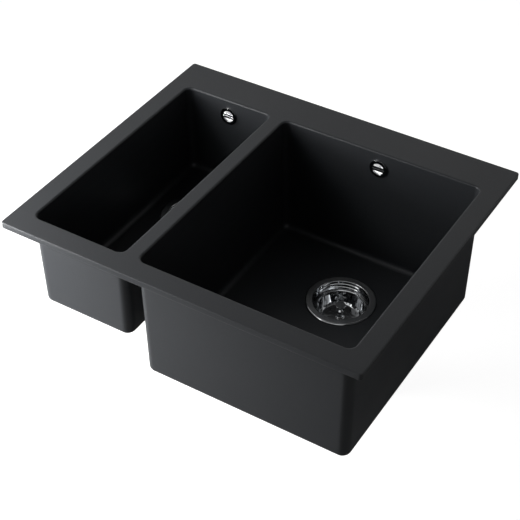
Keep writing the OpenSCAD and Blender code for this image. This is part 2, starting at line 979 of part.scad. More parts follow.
// Nut of a screwed pipe joint, local z from the joint's end face towards the thread
module ring_nut() {
    depth = washer_t + pipe_collar_t;
    bore_r = spigot_r + thread_gap;
    translate([0, 0, -depth - nut_lip_t])
        difference() {
            union() {
                cylinder(h = nut_lip_t + depth + ring_nut_grip, r = bore_r + ring_nut_t);
                for (i = [0 : lug_count - 1])
                    rotate([0, 0, 360 / lug_count * i])
                        translate([bore_r + ring_nut_t, 0, 0])
                            cylinder(h = nut_lip_t + depth + ring_nut_grip, r = lug_r);
            }
            translate([0, 0, -overrun])
                cylinder(h = nut_lip_t + 2 * overrun, r = pipe_r + lip_gap);
            translate([0, 0, nut_lip_t])
                cylinder(h = depth + ring_nut_grip + overrun, r = bore_r);
        }
}

module drop_washers() {
    color(rubber)
        for (b = [HALF, MAIN])
            at_drain(b)
                washer(spigot_r - lip_gap, spigot_bore_r, washer_t, spigot_z - washer_t);
}

module drop_nuts() {
    color(white)
        for (b = [HALF, MAIN])
            at_drain(b)
                translate([0, 0, spigot_z])
                    ring_nut();
}

// Collar on the top end of a drop pipe, under the washer
module pipe_collar(z) {
    translate([0, 0, z - washer_t - pipe_collar_t])
        cylinder(h = pipe_collar_t, r = spigot_r - lip_gap);
}

module half_drop_bend() {
    top_z = half_spigot_z - washer_t;
    bend_z = cross_z + pipe_bend_r;
    color(white)
        translate([drain_x(HALF), drain_y, 0])
            difference() {
                union() {
                    translate([0, 0, bend_z])
                        cylinder(h = top_z - bend_z, r = pipe_r);
                    pipe_collar(half_spigot_z);
                    translate([pipe_bend_r, 0, bend_z])
                        rotate([90, 0, 0])
                            rotate([0, 0, 180])
                                rotate_extrude(angle = 90)
                                    translate([pipe_bend_r, 0])
                                        circle(pipe_r);
                    translate([pipe_bend_r, 0, cross_z])
                        rotate([0, 90, 0])
                            cylinder(h = bend_arm, r = spigot_r);
                }
                translate([0, 0, bend_z])
                    cylinder(h = top_z - bend_z + overrun, r = pipe_r - pipe_t);
                translate([pipe_bend_r, 0, bend_z])
                    rotate([90, 0, 0])
                        rotate([0, 0, 180])
                            rotate_extrude(angle = 90)
                                translate([pipe_bend_r, 0])
                                    circle(pipe_r - pipe_t);
                translate([pipe_bend_r, 0, cross_z])
                    rotate([0, 90, 0])
                        cylinder(h = bend_arm, r = pipe_r - pipe_t);
                translate([pipe_bend_r + bend_arm - socket_l, 0, cross_z])
                    rotate([0, 90, 0])
                        cylinder(h = socket_l + overrun, r = pipe_r + socket_wall_gap);
            }
}

module cross_pipe() {
    start_x = bend_end_x - insertion;
    end_x = tee_end_x + insertion;
    color(white)
        translate([start_x, drain_y, cross_z])
            rotate([0, 90, 0])
                tube(pipe_r, pipe_r - pipe_t, end_x - start_x, 0);
}

// Puts its children at both ends of the cross pipe, local z into the socket
module at_cross_joints() {
    translate([bend_end_x, drain_y, cross_z])
        rotate([0, -90, 0])
            children();
    translate([tee_end_x, drain_y, cross_z])
        rotate([0, 90, 0])
            children();
}

module cross_washers() {
    color(rubber)
        at_cross_joints()
            washer(
                spigot_r - lip_gap,
                pipe_r + socket_wall_gap,
                washer_t + pipe_collar_t,
                -washer_t - pipe_collar_t
            );
}

module cross_nuts() {
    color(white)
        at_cross_joints()
            ring_nut();
}

module outlet_tee() {
    bottom_z = cross_z - tee_half - outlet_l;
    top_z = main_spigot_z - washer_t;
    color(white)
        translate([drain_x(MAIN), drain_y, 0])
            difference() {
                union() {
                    translate([0, 0, bottom_z])
                        cylinder(h = top_z - bottom_z, r = pipe_r);
                    pipe_collar(main_spigot_z);
                    translate([0, 0, cross_z - tee_half])
                        cylinder(h = 2 * tee_half, r = tee_r);
                    translate([-tee_arm, 0, cross_z])
                        rotate([0, 90, 0])
                            cylinder(h = tee_arm, r = spigot_r);
                }
                translate([0, 0, bottom_z - overrun])
                    cylinder(h = top_z - bottom_z + 2 * overrun, r = pipe_r - pipe_t);
                translate([-tee_arm, 0, cross_z])
                    rotate([0, 90, 0])
                        cylinder(h = tee_arm, r = pipe_r - pipe_t);
                translate([-tee_arm - overrun, 0, cross_z])
                    rotate([0, 90, 0])
                        cylinder(h = socket_l + overrun, r = pipe_r + socket_wall_gap);
            }
}

module clip_inserts() {
    color(brass)
        for (c = clips)
            translate([c[0], c[1], 0])
                washer(insert_r, clip_hole_r, insert_l, 0);
}

module clip_screws() {
    head_z = clip_top_z - clip_t - clip_head_gap;
    color(steel)
        for (c = clips)
            translate([c[0], c[1], 0])
                difference() {
                    union() {
                        translate([0, 0, head_z])
                            cylinder(h = insert_share * insert_l - head_z, r = clip_screw_r);
                        translate([0, 0, head_z - clip_head_h])
                            cylinder(h = clip_head_h, r = clip_head_r);
                    }
                    translate([0, 0, head_z - clip_head_h - overrun])
                        cylinder(h = clip_key_d + overrun, r = clip_key_r, $fn = 6);
                }
}

// An arm on its screw, stowed along the wall, a quarter turn short of pointing outward
module clip(i) {
    color(steel)
        translate([clips[i][0], clips[i][1], clip_top_z - clip_t])
            rotate([0, 0, clips[i][2] - 90])
                difference() {
                    union() {
                        cylinder(h = clip_t, r = clip_w / 2);
                        translate([0, -clip_w / 2, 0])
                            cube([clip_reach, clip_w, clip_t]);
                        translate([clip_reach - clip_toe_l, -clip_w / 2, 0])
                            cube([clip_toe_l, clip_w, clip_t + clip_toe_h]);
                    }
                    translate([0, 0, -overrun])
                        cylinder(h = clip_t + 2 * overrun, r = clip_hole_r);
                }
}

sink_body();
rim_seal();
flange_seal(MAIN);  // main_flange_seal
strainer_cup(MAIN);  // main_strainer_cup
body_gasket(MAIN);  // main_body_gasket
waste_body(MAIN);  // main_waste_body
centre_screw(MAIN);  // main_centre_screw
brass_nut(MAIN);  // main_brass_nut
basket(MAIN);  // main_basket
stopper(MAIN);  // main_stopper
stopper_nut(MAIN);  // main_stopper_nut
knob(MAIN);  // main_knob
flange_seal(HALF);  // half_flange_seal
strainer_cup(HALF);  // half_strainer_cup
body_gasket(HALF);  // half_body_gasket
waste_body(HALF);  // half_waste_body
centre_screw(HALF);  // half_centre_screw
brass_nut(HALF);  // half_brass_nut
basket(HALF);  // half_basket
stopper(HALF);  // half_stopper
stopper_nut(HALF);  // half_stopper_nut
knob(HALF);  // half_knob
overflow_ring(MAIN);  // main_overflow_ring
overflow_stud(MAIN);  // main_overflow_stud
overflow_gasket(MAIN);  // main_overflow_gasket
overflow_body(MAIN);  // main_overflow_body
overflow_ring(HALF);  // half_overflow_ring
overflow_stud(HALF);  // half_overflow_stud
overflow_gasket(HALF);  // half_overflow_gasket
overflow_body(HALF);  // half_overflow_body
overflow_hose(MAIN);  // main_overflow_hose
overflow_hose(HALF);  // half_overflow_hose
hose_bands();
drop_washers();
drop_nuts();
half_drop_bend();
cross_pipe();
cross_washers();
cross_nuts();
outlet_tee();
clip_inserts();
clip_screws();
clip(0);  // front_left_clip
clip(1);  // front_right_clip
clip(2);  // back_left_clip
clip(3);  // back_right_clip
clip(4);  // left_clip
clip(5);  // right_clip
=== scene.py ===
# Looks of a drop-in composite kitchen sink with two bowls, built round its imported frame.
# Blender works in metres. Sizes here are in millimetres, and MM turns them into metres.

import json
import math

import bmesh
import bpy
from mathutils import Matrix, Vector


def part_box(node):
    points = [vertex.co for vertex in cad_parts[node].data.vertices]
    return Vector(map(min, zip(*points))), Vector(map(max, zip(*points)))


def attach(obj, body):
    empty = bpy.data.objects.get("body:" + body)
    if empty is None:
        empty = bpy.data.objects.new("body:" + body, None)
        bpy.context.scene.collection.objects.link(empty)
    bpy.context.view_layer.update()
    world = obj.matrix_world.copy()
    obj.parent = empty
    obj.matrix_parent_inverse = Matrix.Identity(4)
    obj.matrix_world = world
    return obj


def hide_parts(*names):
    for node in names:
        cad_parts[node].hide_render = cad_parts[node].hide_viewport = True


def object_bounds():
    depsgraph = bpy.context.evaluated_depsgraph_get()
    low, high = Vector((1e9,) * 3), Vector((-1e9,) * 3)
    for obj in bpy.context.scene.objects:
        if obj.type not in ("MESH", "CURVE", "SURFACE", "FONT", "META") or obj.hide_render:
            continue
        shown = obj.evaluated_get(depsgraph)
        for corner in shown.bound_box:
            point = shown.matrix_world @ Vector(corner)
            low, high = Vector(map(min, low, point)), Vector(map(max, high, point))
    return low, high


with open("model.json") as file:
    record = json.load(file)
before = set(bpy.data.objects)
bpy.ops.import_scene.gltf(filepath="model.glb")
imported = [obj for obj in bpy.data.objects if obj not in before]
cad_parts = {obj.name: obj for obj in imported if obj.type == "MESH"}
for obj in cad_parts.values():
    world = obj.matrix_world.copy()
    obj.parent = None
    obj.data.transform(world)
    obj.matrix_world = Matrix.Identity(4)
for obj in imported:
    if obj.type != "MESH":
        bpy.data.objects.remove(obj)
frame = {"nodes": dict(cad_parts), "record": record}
CAD_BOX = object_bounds()

MM = 0.001

# Sizes of the sink that its mesh follows, in millimetres
RIM_T = 11
RIM_CORNER_R = 5
RIM_TOP_R = 1.5
RIM_UNDER_R = 2
FRONT_RIM = 36
SIDE_RIM = 33
DIVIDER = 26
HALF_W = 162
BOWL_L = 405
DEPTHS = {"main": 212, "half": 157}
FLOOR_T = 8
WALL_T = 3
BOWL_CORNER_R = 12
FLOOR_FILLET_R = 11
LIP_R = 3
SHELL_CORNER_R = 14.5
SHELL_EDGE_R = 8
INNER_SLOPE = 0.03
OUTER_SLOPE = 0.012
DRAIN_BACK = 319
DRAIN_SHIFT = 7
DISH_R = 96
DISH_D = 1.2
SEAT_R = 58.5
SEAT_D = 2.44
DRAIN_HOLE_R = 47
GROOVE = {"inset": 3.5, "width": 5, "depth": 2.5, "corner": 9}
OVERFLOW_DROP = 29.4

SINK_LOW, SINK_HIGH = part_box("sink_body")
RIM_W = (SINK_HIGH.x - SINK_LOW.x) / MM
RIM_D = (SINK_HIGH.y - SINK_LOW.y) / MM
MAIN_W = RIM_W - 2 * SIDE_RIM - DIVIDER - HALF_W
BOWL_W = {"main": MAIN_W, "half": HALF_W}
BOWL_X = {
    "main": RIM_W / 2 - SIDE_RIM - MAIN_W / 2,
    "half": -RIM_W / 2 + SIDE_RIM + HALF_W / 2,
}
BOWL_Y = -RIM_D / 2 + FRONT_RIM + BOWL_L / 2
DRAIN_Y = -RIM_D / 2 + DRAIN_BACK
FLOOR_Z = {b: RIM_T - DEPTHS[b] for b in DEPTHS}
DRAIN_X = {b: BOWL_X[b] + DRAIN_SHIFT for b in DEPTHS}


# Camera
# Place, angles in degrees and focal length in pixels, solved from the outlines of the rim,
# the bowls and the drain
CAMERA_PLACE = (809.94, -1318.62, 1215.36)
CAMERA_AZIMUTH = 31.894
CAMERA_ELEVATION = 40.659
CAMERA_ROLL = -0.237
FOCAL_PX = 1309.1
FRAME_PX = 520
SENSOR = 36
CLIP = (0.05, 50)


def make_camera():
    data = bpy.data.cameras.new("camera")
    data.sensor_width = SENSOR
    data.lens = FOCAL_PX * SENSOR / FRAME_PX
    data.clip_start, data.clip_end = CLIP
    cam = bpy.data.objects.new("camera", data)
    turn = Matrix.Rotation(math.radians(CAMERA_AZIMUTH), 4, "Z")
    tilt = Matrix.Rotation(math.radians(90 - CAMERA_ELEVATION), 4, "X")
    roll = Matrix.Rotation(math.radians(CAMERA_ROLL), 4, "Z")
    cam.matrix_world = Matrix.Translation(Vector(CAMERA_PLACE) * MM) @ turn @ tilt @ roll
    bpy.context.scene.collection.objects.link(cam)
    bpy.context.scene.camera = cam


make_camera()


# Node trees
def new_tree(name, kind, inputs, outputs):
    """A shader or geometry tree, with a name, kind and value for each input."""
    tree = bpy.data.node_groups.new(name, kind)
    for label, socket_kind, value in inputs:
        socket = tree.interface.new_socket(label, in_out="INPUT", socket_type=socket_kind)
        if value is not None:
            socket.default_value = value
    for label, socket_kind in outputs:
        tree.interface.new_socket(label, in_out="OUTPUT", socket_type=socket_kind)
    return tree, tree.nodes.new("NodeGroupInput"), tree.nodes.new("NodeGroupOutput")


def connect(tree, made, links):
    """Sets a node's sockets, by name or number, from values or from other nodes' outputs."""
    for key, value in links.items():
        if isinstance(value, bpy.types.NodeSocket):
            tree.links.new(value, made.inputs[key])
        else:
            made.inputs[key].default_value = value


def node(tree, kind, links=None, **settings):
    made = tree.nodes.new(kind)
    for key, value in settings.items():
        setattr(made, key, value)
    connect(tree, made, links or {})
    return made


def maths(tree, kind, a, b=0.0):
    return node(tree, "ShaderNodeMath", {0: a, 1: b}, operation=kind).outputs[0]


def fade(tree, value, start, end, low=1.0, high=0.0, **settings):
    """Goes from low, where the value is at its start, to high, where it is at its end."""
    links = {"Value": value, "From Min": start, "From Max": end, "To Min": low, "To Max": high}
    return node(tree, "ShaderNodeMapRange", links, **settings).outputs["Result"]


# Scales are repeats for each metre. Sizes of flecks and pits are shares of a cell of the grain.
DRIFT_SCALE = 7.0
SMEAR_SCALE = 45.0
SMEAR_SPAN = (0.35, 0.7)
FLECK_SIZE = 0.32
PIT_DEPTH = 0.35


def make_grain_group():
    """Mottling of moulded surfaces: a mask, bright flecks, a height and a slow drift."""
    tree, given, out = new_tree(
        "grain",
        "ShaderNodeTree",
        [
            ("Vector", "NodeSocketVector", None),
            ("Scale", "NodeSocketFloat", 900.0),
            ("Fleck", "NodeSocketFloat", 0.72),
        ],
        [(label, "NodeSocketFloat") for label in ("Mottle", "Flecks", "Height", "Drift")],
    )
    vector, scale = given.outputs["Vector"], given.outputs["Scale"]
    fine = node(
        tree,
        "ShaderNodeTexNoise",
        {"Vector": vector, "Scale": scale, "Detail": 4.0, "Roughness": 0.6},
    )
    slow = node(
        tree,
        "ShaderNodeTexNoise",
        {"Vector": vector, "Scale": DRIFT_SCALE, "Detail": 3.0},
    )
    cells = node(
        tree,
        "ShaderNodeTexVoronoi",
        {"Vector": vector, "Scale": scale, "Randomness": 1.0},
    )
    sparkle = node(tree, "ShaderNodeSeparateColor", {"Color": cells.outputs["Color"]})
    chosen = maths(tree, "GREATER_THAN", sparkle.outputs[0], given.outputs["Fleck"])
    near = maths(tree, "LESS_THAN", cells.outputs["Distance"], FLECK_SIZE)
    pits = maths(tree, "MULTIPLY", cells.outputs["Distance"], PIT_DEPTH)
    results = {
        "Mottle": fine.outputs["Fac"],
        "Flecks": maths(tree, "MULTIPLY", chosen, near),
        "Height": maths(tree, "ADD", fine.outputs["Fac"], pits),
        "Drift": slow.outputs["Fac"],
    }
    connect(tree, out, results)
    return tree


def make_polish_group():
    """Faint turning marks and smears for polished, turned and plated metal."""
    tree, given, out = new_tree(
        "polish",
        "ShaderNodeTree",
        [
            ("Vector", "NodeSocketVector", None),
            ("Marks", "NodeSocketFloat", 2600.0),
            ("Low", "NodeSocketFloat", 0.05),
            ("High", "NodeSocketFloat", 0.14),
        ],
        [(label, "NodeSocketFloat") for label in ("Roughness", "Height", "Smear")],
    )
    vector, low, high = given.outputs["Vector"], given.outputs["Low"], given.outputs["High"]
    smear = node(
        tree,
        "ShaderNodeTexNoise",
        {"Vector": vector, "Scale": SMEAR_SCALE, "Detail": 3.0, "Roughness": 0.65},
    )
    marks = node(
        tree,
        "ShaderNodeTexNoise",
        {"Vector": vector, "Scale": given.outputs["Marks"], "Detail": 2.0},
    )
    results = {
        "Roughness": fade(tree, smear.outputs["Fac"], *SMEAR_SPAN, low, high),
        "Height": marks.outputs["Fac"],
        "Smear": smear.outputs["Fac"],
    }
    connect(tree, out, results)
    return tree


GRAIN = make_grain_group()
POLISH = make_polish_group()


# Materials
# Where a pattern's value is in its dark tone and where in its light one
TONES = (0.3, 0.7)


def new_material(name):
    material = bpy.data.materials.new(name)
    material.use_nodes = True
    tree = material.node_tree
    place = tree.nodes.new("ShaderNodeTexCoord").outputs["Object"]
    return material, tree, tree.nodes["Principled BSDF"], place


def two_tones(tree, value, dark, light):
    made = node(tree, "ShaderNodeValToRGB", {"Fac": value})
    for point, position, color in zip(made.color_ramp.elements, TONES, (dark, light)):
        point.position = position
        point.color = (*color, 1)
    return made.outputs["Color"]


def bump(tree, height, distance):
    made = node(tree, "ShaderNodeBump", {"Height": height, "Distance": distance, "Strength": 1.0})
    return made.outputs["Normal"]


def grained(name, dark, light, rough, scale, depth, fleck_color=None, fleck=0.72, fixed=None):
    """A moulded surface whose colour, gloss and height follow the grain group."""
    material, tree, shader, place = new_material(name)
    grain = node(tree, "ShaderNodeGroup", node_tree=GRAIN)
    connect(tree, grain, {"Vector": place, "Scale": scale, "Fleck": fleck})
    color = two_tones(tree, grain.outputs["Mottle"], dark, light)
    if fleck_color is not None:
        mixed = node(
            tree,
            "ShaderNodeMixRGB",
            {"Fac": grain.outputs["Flecks"], "Color1": color, "Color2": (*fleck_color, 1)},
        )
        color = mixed.outputs["Color"]
    finish = {
        "Base Color": color,
        "Roughness": fade(tree, grain.outputs["Drift"], *TONES, *rough),
        "Normal": bump(tree, grain.outputs["Height"], depth),
    }
    connect(tree, shader, finish | (fixed or {}))
    return material


def metal(name, dark, light, rough, marks, depth):
    """A metal whose gloss and tint follow the polish group."""
    material, tree, shader, place = new_material(name)
    polish = node(tree, "ShaderNodeGroup", node_tree=POLISH)
    connect(tree, polish, {"Vector": place, "Marks": marks, "Low": rough[0], "High": rough[1]})
    finish = {
        "Base Color": two_tones(tree, polish.outputs["Smear"], dark, light),
        "Roughness": polish.outputs["Roughness"],
        "Metallic": 1,
        "Normal": bump(tree, polish.outputs["Height"], depth),
    }
    connect(tree, shader, finish)
    return material


COMPOSITE = grained(
    "matt_black_composite",
    dark=(0.0155, 0.0168, 0.0188),
    light=(0.0215, 0.0232, 0.0258),
    rough=(0.42, 0.48),
    scale=1500.0,
    depth=0.00002,
    fleck_color=(0.045, 0.047, 0.051),
    fleck=0.86,
    fixed={"Specular IOR Level": 0.2},
)
STEEL = metal(
    "polished_steel",
    dark=(0.46, 0.47, 0.48),
    light=(0.54, 0.55, 0.56),
    rough=(0.03, 0.07),
    marks=2600.0,
    depth=0.0000005,
)
ZINC = metal(
    "zinc_plated_steel",
    dark=(0.52, 0.54, 0.56),
    light=(0.68, 0.69, 0.7),
    rough=(0.28, 0.42),
    marks=1800.0,
    depth=0.00001,
)
BRASS = metal(
    "turned_brass",
    dark=(0.58, 0.42, 0.18),
    light=(0.75, 0.58, 0.28),
    rough=(0.2, 0.34),
    marks=1500.0,
    depth=0.00001,
)
RUBBER = grained(
    "black_rubber",
    dark=(0.012, 0.012, 0.012),
    light=(0.025, 0.025, 0.025),
    rough=(0.55, 0.7),
    scale=1200.0,
    depth=0.00004,
)
PLASTIC = grained(
    "moulded_white_plastic",
    dark=(0.74, 0.74, 0.72),
    light=(0.82, 0.82, 0.8),
    rough=(0.36, 0.46),
    scale=900.0,
    depth=0.00003,
)
# Thin white plastic with a painted glow: its emission stands in for light shining through it
GLOWING_PLASTIC = grained(
    "thin_white_plastic",
    dark=(0.88, 0.88, 0.88),
    light=(0.93, 0.93, 0.93),
    rough=(0.2, 0.28),
    scale=600.0,
    depth=0.00001,
    fixed={"Emission Strength": 0.8},
)
HOSE_PLASTIC = grained(
    "grey_hose_plastic",
    dark=(0.34, 0.35, 0.36),
    light=(0.42, 0.43, 0.44),
    rough=(0.4, 0.5),
    scale=700.0,
    depth=0.00003,
)


# Y of a normal that faces the bowls fully, and of one that no longer does, for the painted glow
FACES_BOWL = (-0.5, -0.2)


def paint_glow_towards_bowls(material, through):
    """Paints a glow on thin plastic, standing in for light shining through it, only inside the
    walls' holes and towards the bowls.
    """
    tree = material.node_tree
    coords = tree.nodes.new("ShaderNodeTexCoord")
    place = node(tree, "ShaderNodeSeparateXYZ", {"Vector": coords.outputs["Object"]})
    facing = node(tree, "ShaderNodeSeparateXYZ", {"Vector": coords.outputs["Normal"]})
    inside = fade(tree, place.outputs["Y"], through, through + MM)
    front = fade(tree, facing.outputs["Y"], *FACES_BOWL)
    glow = maths(tree, "MAXIMUM", inside, front)
    tree.links.new(glow, tree.nodes["Principled BSDF"].inputs["Emission Color"])


paint_glow_towards_bowls(GLOWING_PLASTIC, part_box("main_overflow_gasket")[1].y)


# Mesh helpers
# Angles past which an edge stays sharp, in degrees, and the turn of each facet of a round corner
BODY_SHARP = 32
STEEL_SHARP = 40
HOSE_SHARP = 50
CORNER_FACET = 9
# Largest share of a straight run that one of its fillets takes
FILLET_SHARE = 0.49
# Distance in metres at which points merge, and the radius in millimetres of a point on an axis
MERGE_AT = 1e-7
ON_AXIS = 1e-6


def add_object(name, mesh):
    made = bpy.data.objects.new(name, mesh)
    bpy.context.scene.collection.objects.link(made)
    return made


def from_bmesh(name, bm, material, sharp=BODY_SHARP):
    bmesh.ops.remove_doubles(bm, verts=bm.verts, dist=MERGE_AT)
    bmesh.ops.recalc_face_normals(bm, faces=bm.faces)
    mesh = bpy.data.meshes.new(name)
    bm.to_mesh(mesh)
    bm.free()
    mesh.materials.append(material)
    smooth(mesh, sharp)
    return add_object(name, mesh)


def smooth(mesh, sharp):
    mesh.polygons.foreach_set("use_smooth", [True] * len(mesh.polygons))
    mesh.set_sharp_from_angle(angle=math.radians(sharp))
    mesh.update()


def apply_modifiers(obj):
    """Turns the evaluated object into a plain mesh and removes its modifiers."""
    graph = bpy.context.evaluated_depsgraph_get()
    mesh = bpy.data.meshes.new_from_object(obj.evaluated_get(graph))
    obj.modifiers.clear()
    obj.data = mesh
    return obj


def finish_piece(obj, body, slot, *nodes):
    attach(obj, body)
    if nodes:
        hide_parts(*nodes)
    return obj


def rounded_outline(points):
    """A line through (radius, height, fillet) corners, with each corner rounded by an arc."""
    out = []
    for i, (a, b, r) in enumerate(points):
        here = Vector((a, b))
        if r == 0 or i in (0, len(points) - 1):
            out.append(here)
            continue
        before = Vector(points[i - 1][:2]) - here
        after = Vector(points[i + 1][:2]) - here
        turn = before.angle(after)
        room = min(before.length, after.length) * FILLET_SHARE
        back = min(r / math.tan(turn / 2), room)
        radius = back * math.tan(turn / 2)
        start, end = here + before.normalized() * back, here + after.normalized() * back
        inwards = (before.normalized() + after.normalized()).normalized()
        middle = here + inwards * (radius / math.sin(turn / 2))
        sweep = math.pi - turn
        steps = max(2, int(math.degrees(sweep) / CORNER_FACET))
        first = start - middle
        sign = 1 if first.cross(end - middle) > 0 else -1
        for k in range(steps + 1):
            out.append(middle + Matrix.Rotation(sign * sweep * k / steps, 2) @ first)
    return out


# Runs longer than FLAT_MIN are held flat from FLAT_HOLD inside their ends
FLAT_MIN = 2.0
FLAT_HOLD = 0.25


def hold_flats(points):
    """Adds a point near both ends of each long straight run, so that its shading stays flat."""
    out = []
    for i, here in enumerate(points):
        out.append(here)
        after = points[(i + 1) % len(points)]
        run = (after - here).length
        if run > FLAT_MIN:
            out += [here.lerp(after, FLAT_HOLD / run), after.lerp(here, FLAT_HOLD / run)]
    return out


def turned(bm, corners, centre, sides, axis="Z"):
    """Turns a profile given by its corners, with round corners and flat runs between them."""
    lathe(bm, hold_flats(rounded_outline(corners)), centre, sides, axis)


def lathe(bm, outline, centre, sides, axis="Z"):
    """Turns a closed (radius, height) outline round a vertical axis, or round one along -Y."""
    rings = []
    for p in outline:
        ring = []
        count = 1 if p.x < ON_AXIS else sides
        for k in range(count):
            a = 2 * math.pi * k / sides
            x, y, z = p.x * math.cos(a), p.x * math.sin(a), p.y
            if axis == "Y":
                x, y, z = x, -z, y
            ring.append(bm.verts.new((Vector((x, y, z)) + Vector(centre)) * MM))
        rings.append(ring)
    for i, ring in enumerate(rings):
        after = rings[(i + 1) % len(rings)]
        if len(ring) == 1 and len(after) == 1:
            continue
        for k in range(sides):
            j = (k + 1) % sides
            corners = [
                ring[k % len(ring)],
                ring[j % len(ring)],
                after[j % len(after)],
                after[k % len(after)],
            ]
            bm.faces.new(list(dict.fromkeys(corners)))


# Sink body
# Facets of the corners in plan and of the edges, and the places of the points along each side
ARC_STEPS = 12
LIP_STEPS = 8
FILLET_STEPS = 10
EDGE_STEPS = 6
SIDE_SHARES = (0.012, 0.25, 0.5, 0.75, 0.988)
# Distance at which a loop holds a flat face flat, and least radius of a loop's corners
HOLD = 1.2
POLE_R = 0.4
DISH_START = 0.02
SEAT_EDGE = (0.04, 0.1)
DRAIN_SIDES = 144
# Length in metres under which two points of a loop share a place
NO_LENGTH = 1e-9


def plan_loop(bm, centre, w, d, r, z):
    """One loop of a rounded rectangle, with the same count of points whatever its sizes."""
    corners = [(1, 1, 0), (-1, 1, 90), (-1, -1, 180), (1, -1, 270)]
    points = []
    for sx, sy, start in corners:
        cx, cy = sx * (w / 2 - r), sy * (d / 2 - r)
        for k in range(ARC_STEPS + 1):
            a = math.radians(start + 90 * k / ARC_STEPS)
            points.append(Vector((cx + r * math.cos(a), cy + r * math.sin(a))))
    full = []
    arc = ARC_STEPS + 1
    for c in range(4):
        full += points[c * arc:(c + 1) * arc]
        a, b = points[(c + 1) * arc - 1], points[((c + 1) * arc) % len(points)]
        full += [a.lerp(b, s) for s in SIDE_SHARES]
    return [bm.verts.new(Vector((p.x + centre[0], p.y + centre[1], z)) * MM) for p in full]


def join_loops(bm, loops):
    for first, second in zip(loops, loops[1:]):
        count = len(first)
        for k in range(count):
            bm.faces.new((first[k], first[(k + 1) % count], second[(k + 1) % count], second[k]))


def circle_loop(bm, centre, r, z, count):
    return [
        bm.verts.new(Vector((centre[0] + r * math.cos(a), centre[1] + r * math.sin(a), z)) * MM)
        for a in (2 * math.pi * k / count for k in range(count))
    ]


def fill_between(bm, *loops):
    """Flat faces between an outer loop and the loops inside it."""
    edges = []
    for loop in loops:
        for k, v in enumerate(loop):
            other = loop[(k + 1) % len(loop)]
            if (v.co - other.co).length > NO_LENGTH:
                edges.append(bm.edges.get((v, other)) or bm.edges.new((v, other)))
    bmesh.ops.triangle_fill(bm, use_beauty=True, use_dissolve=False, edges=edges)


def arc_steps(count):
    """Angles of a quarter turn in equal steps."""
    return [math.pi / 2 * k / count for k in range(count + 1)]


def bowl_inside(bm, bowl):
    """Lip, drafted walls, fillet, floor, dish and flange seat.

    Returns its edge on the rim's top and the lower edge of the drain's hole.
    """
    centre, depth, floor = (BOWL_X[bowl], BOWL_Y), DEPTHS[bowl], FLOOR_Z[bowl]

    def loop(outset, z, r):
        w, d = BOWL_W[bowl] + 2 * outset, BOWL_L + 2 * outset
        return plan_loop(bm, centre, w, d, max(r, POLE_R), z)

    loops = [loop(LIP_R + HOLD, RIM_T, BOWL_CORNER_R + LIP_R + HOLD)]
    for a in arc_steps(LIP_STEPS):
        out = LIP_R * (1 - math.sin(a))
        loops.append(loop(out, RIM_T - LIP_R + LIP_R * math.cos(a), BOWL_CORNER_R + out))
    inset = INNER_SLOPE * (depth - FLOOR_FILLET_R)
    span = depth - LIP_R - FLOOR_FILLET_R
    for share in (HOLD / span, 0.5, 1 - HOLD / span):
        z = RIM_T - LIP_R - span * share
        radius = BOWL_CORNER_R + (FLOOR_FILLET_R - BOWL_CORNER_R) * share
        loops.append(loop(-inset * share, z, radius))
    for a in arc_steps(FILLET_STEPS):
        run = FLOOR_FILLET_R * (1 - math.cos(a))
        z = floor + FLOOR_FILLET_R * (1 - math.sin(a))
        loops.append(loop(-inset - run, z, FLOOR_FILLET_R - run))
    join_loops(bm, loops)
    dish, top = [], 0
    if bowl == "main":
        top = -DISH_D
        dish = [
            (DISH_R + HOLD, 0),
            (DISH_R, 0),
            (DISH_R - HOLD, top * DISH_START),
            (SEAT_R + HOLD, top),
        ]
    seat = [
        (SEAT_R + SEAT_EDGE[0], top),
        (SEAT_R, top - SEAT_EDGE[1]),
        (SEAT_R, -SEAT_D),
        (DRAIN_HOLE_R, -SEAT_D),
        (DRAIN_HOLE_R, -FLOOR_T),
    ]
    drain = (DRAIN_X[bowl], DRAIN_Y)
    circles = [circle_loop(bm, drain, r, floor + z, DRAIN_SIDES) for r, z in dish + seat]
    join_loops(bm, circles)
    fill_between(bm, loops[-1], circles[0])
    return loops[0], circles[-1]


def bowl_outside(bm, bowl, hole):
    """Outer walls and underside, down to the drain's hole.

    Returns its edge on the rim's underside.
    """
    centre = (BOWL_X[bowl], BOWL_Y)
    w, d = BOWL_W[bowl] + 2 * WALL_T, BOWL_L + 2 * WALL_T
    drop = DEPTHS[bowl] + FLOOR_T - RIM_T
    inset = OUTER_SLOPE * (drop - SHELL_EDGE_R)

    def loop(outset, z, r):
        return plan_loop(bm, centre, w + 2 * outset, d + 2 * outset, r, z)

    loops = [
        loop(HOLD, 0, SHELL_CORNER_R + HOLD),
        loop(0, 0, SHELL_CORNER_R),
        loop(0, -HOLD, SHELL_CORNER_R),
        loop(-inset, SHELL_EDGE_R - drop + HOLD, SHELL_CORNER_R),
    ]
    for a in arc_steps(LIP_STEPS):
        run = SHELL_EDGE_R * (1 - math.cos(a))
        z = SHELL_EDGE_R * (1 - math.sin(a)) - drop
        loops.append(loop(-inset - run, z, SHELL_CORNER_R - run))
    run = SHELL_EDGE_R + HOLD
    loops.append(loop(-inset - run, -drop, SHELL_CORNER_R - run))
    join_loops(bm, loops)
    fill_between(bm, loops[-1], hole)
    return loops[0]


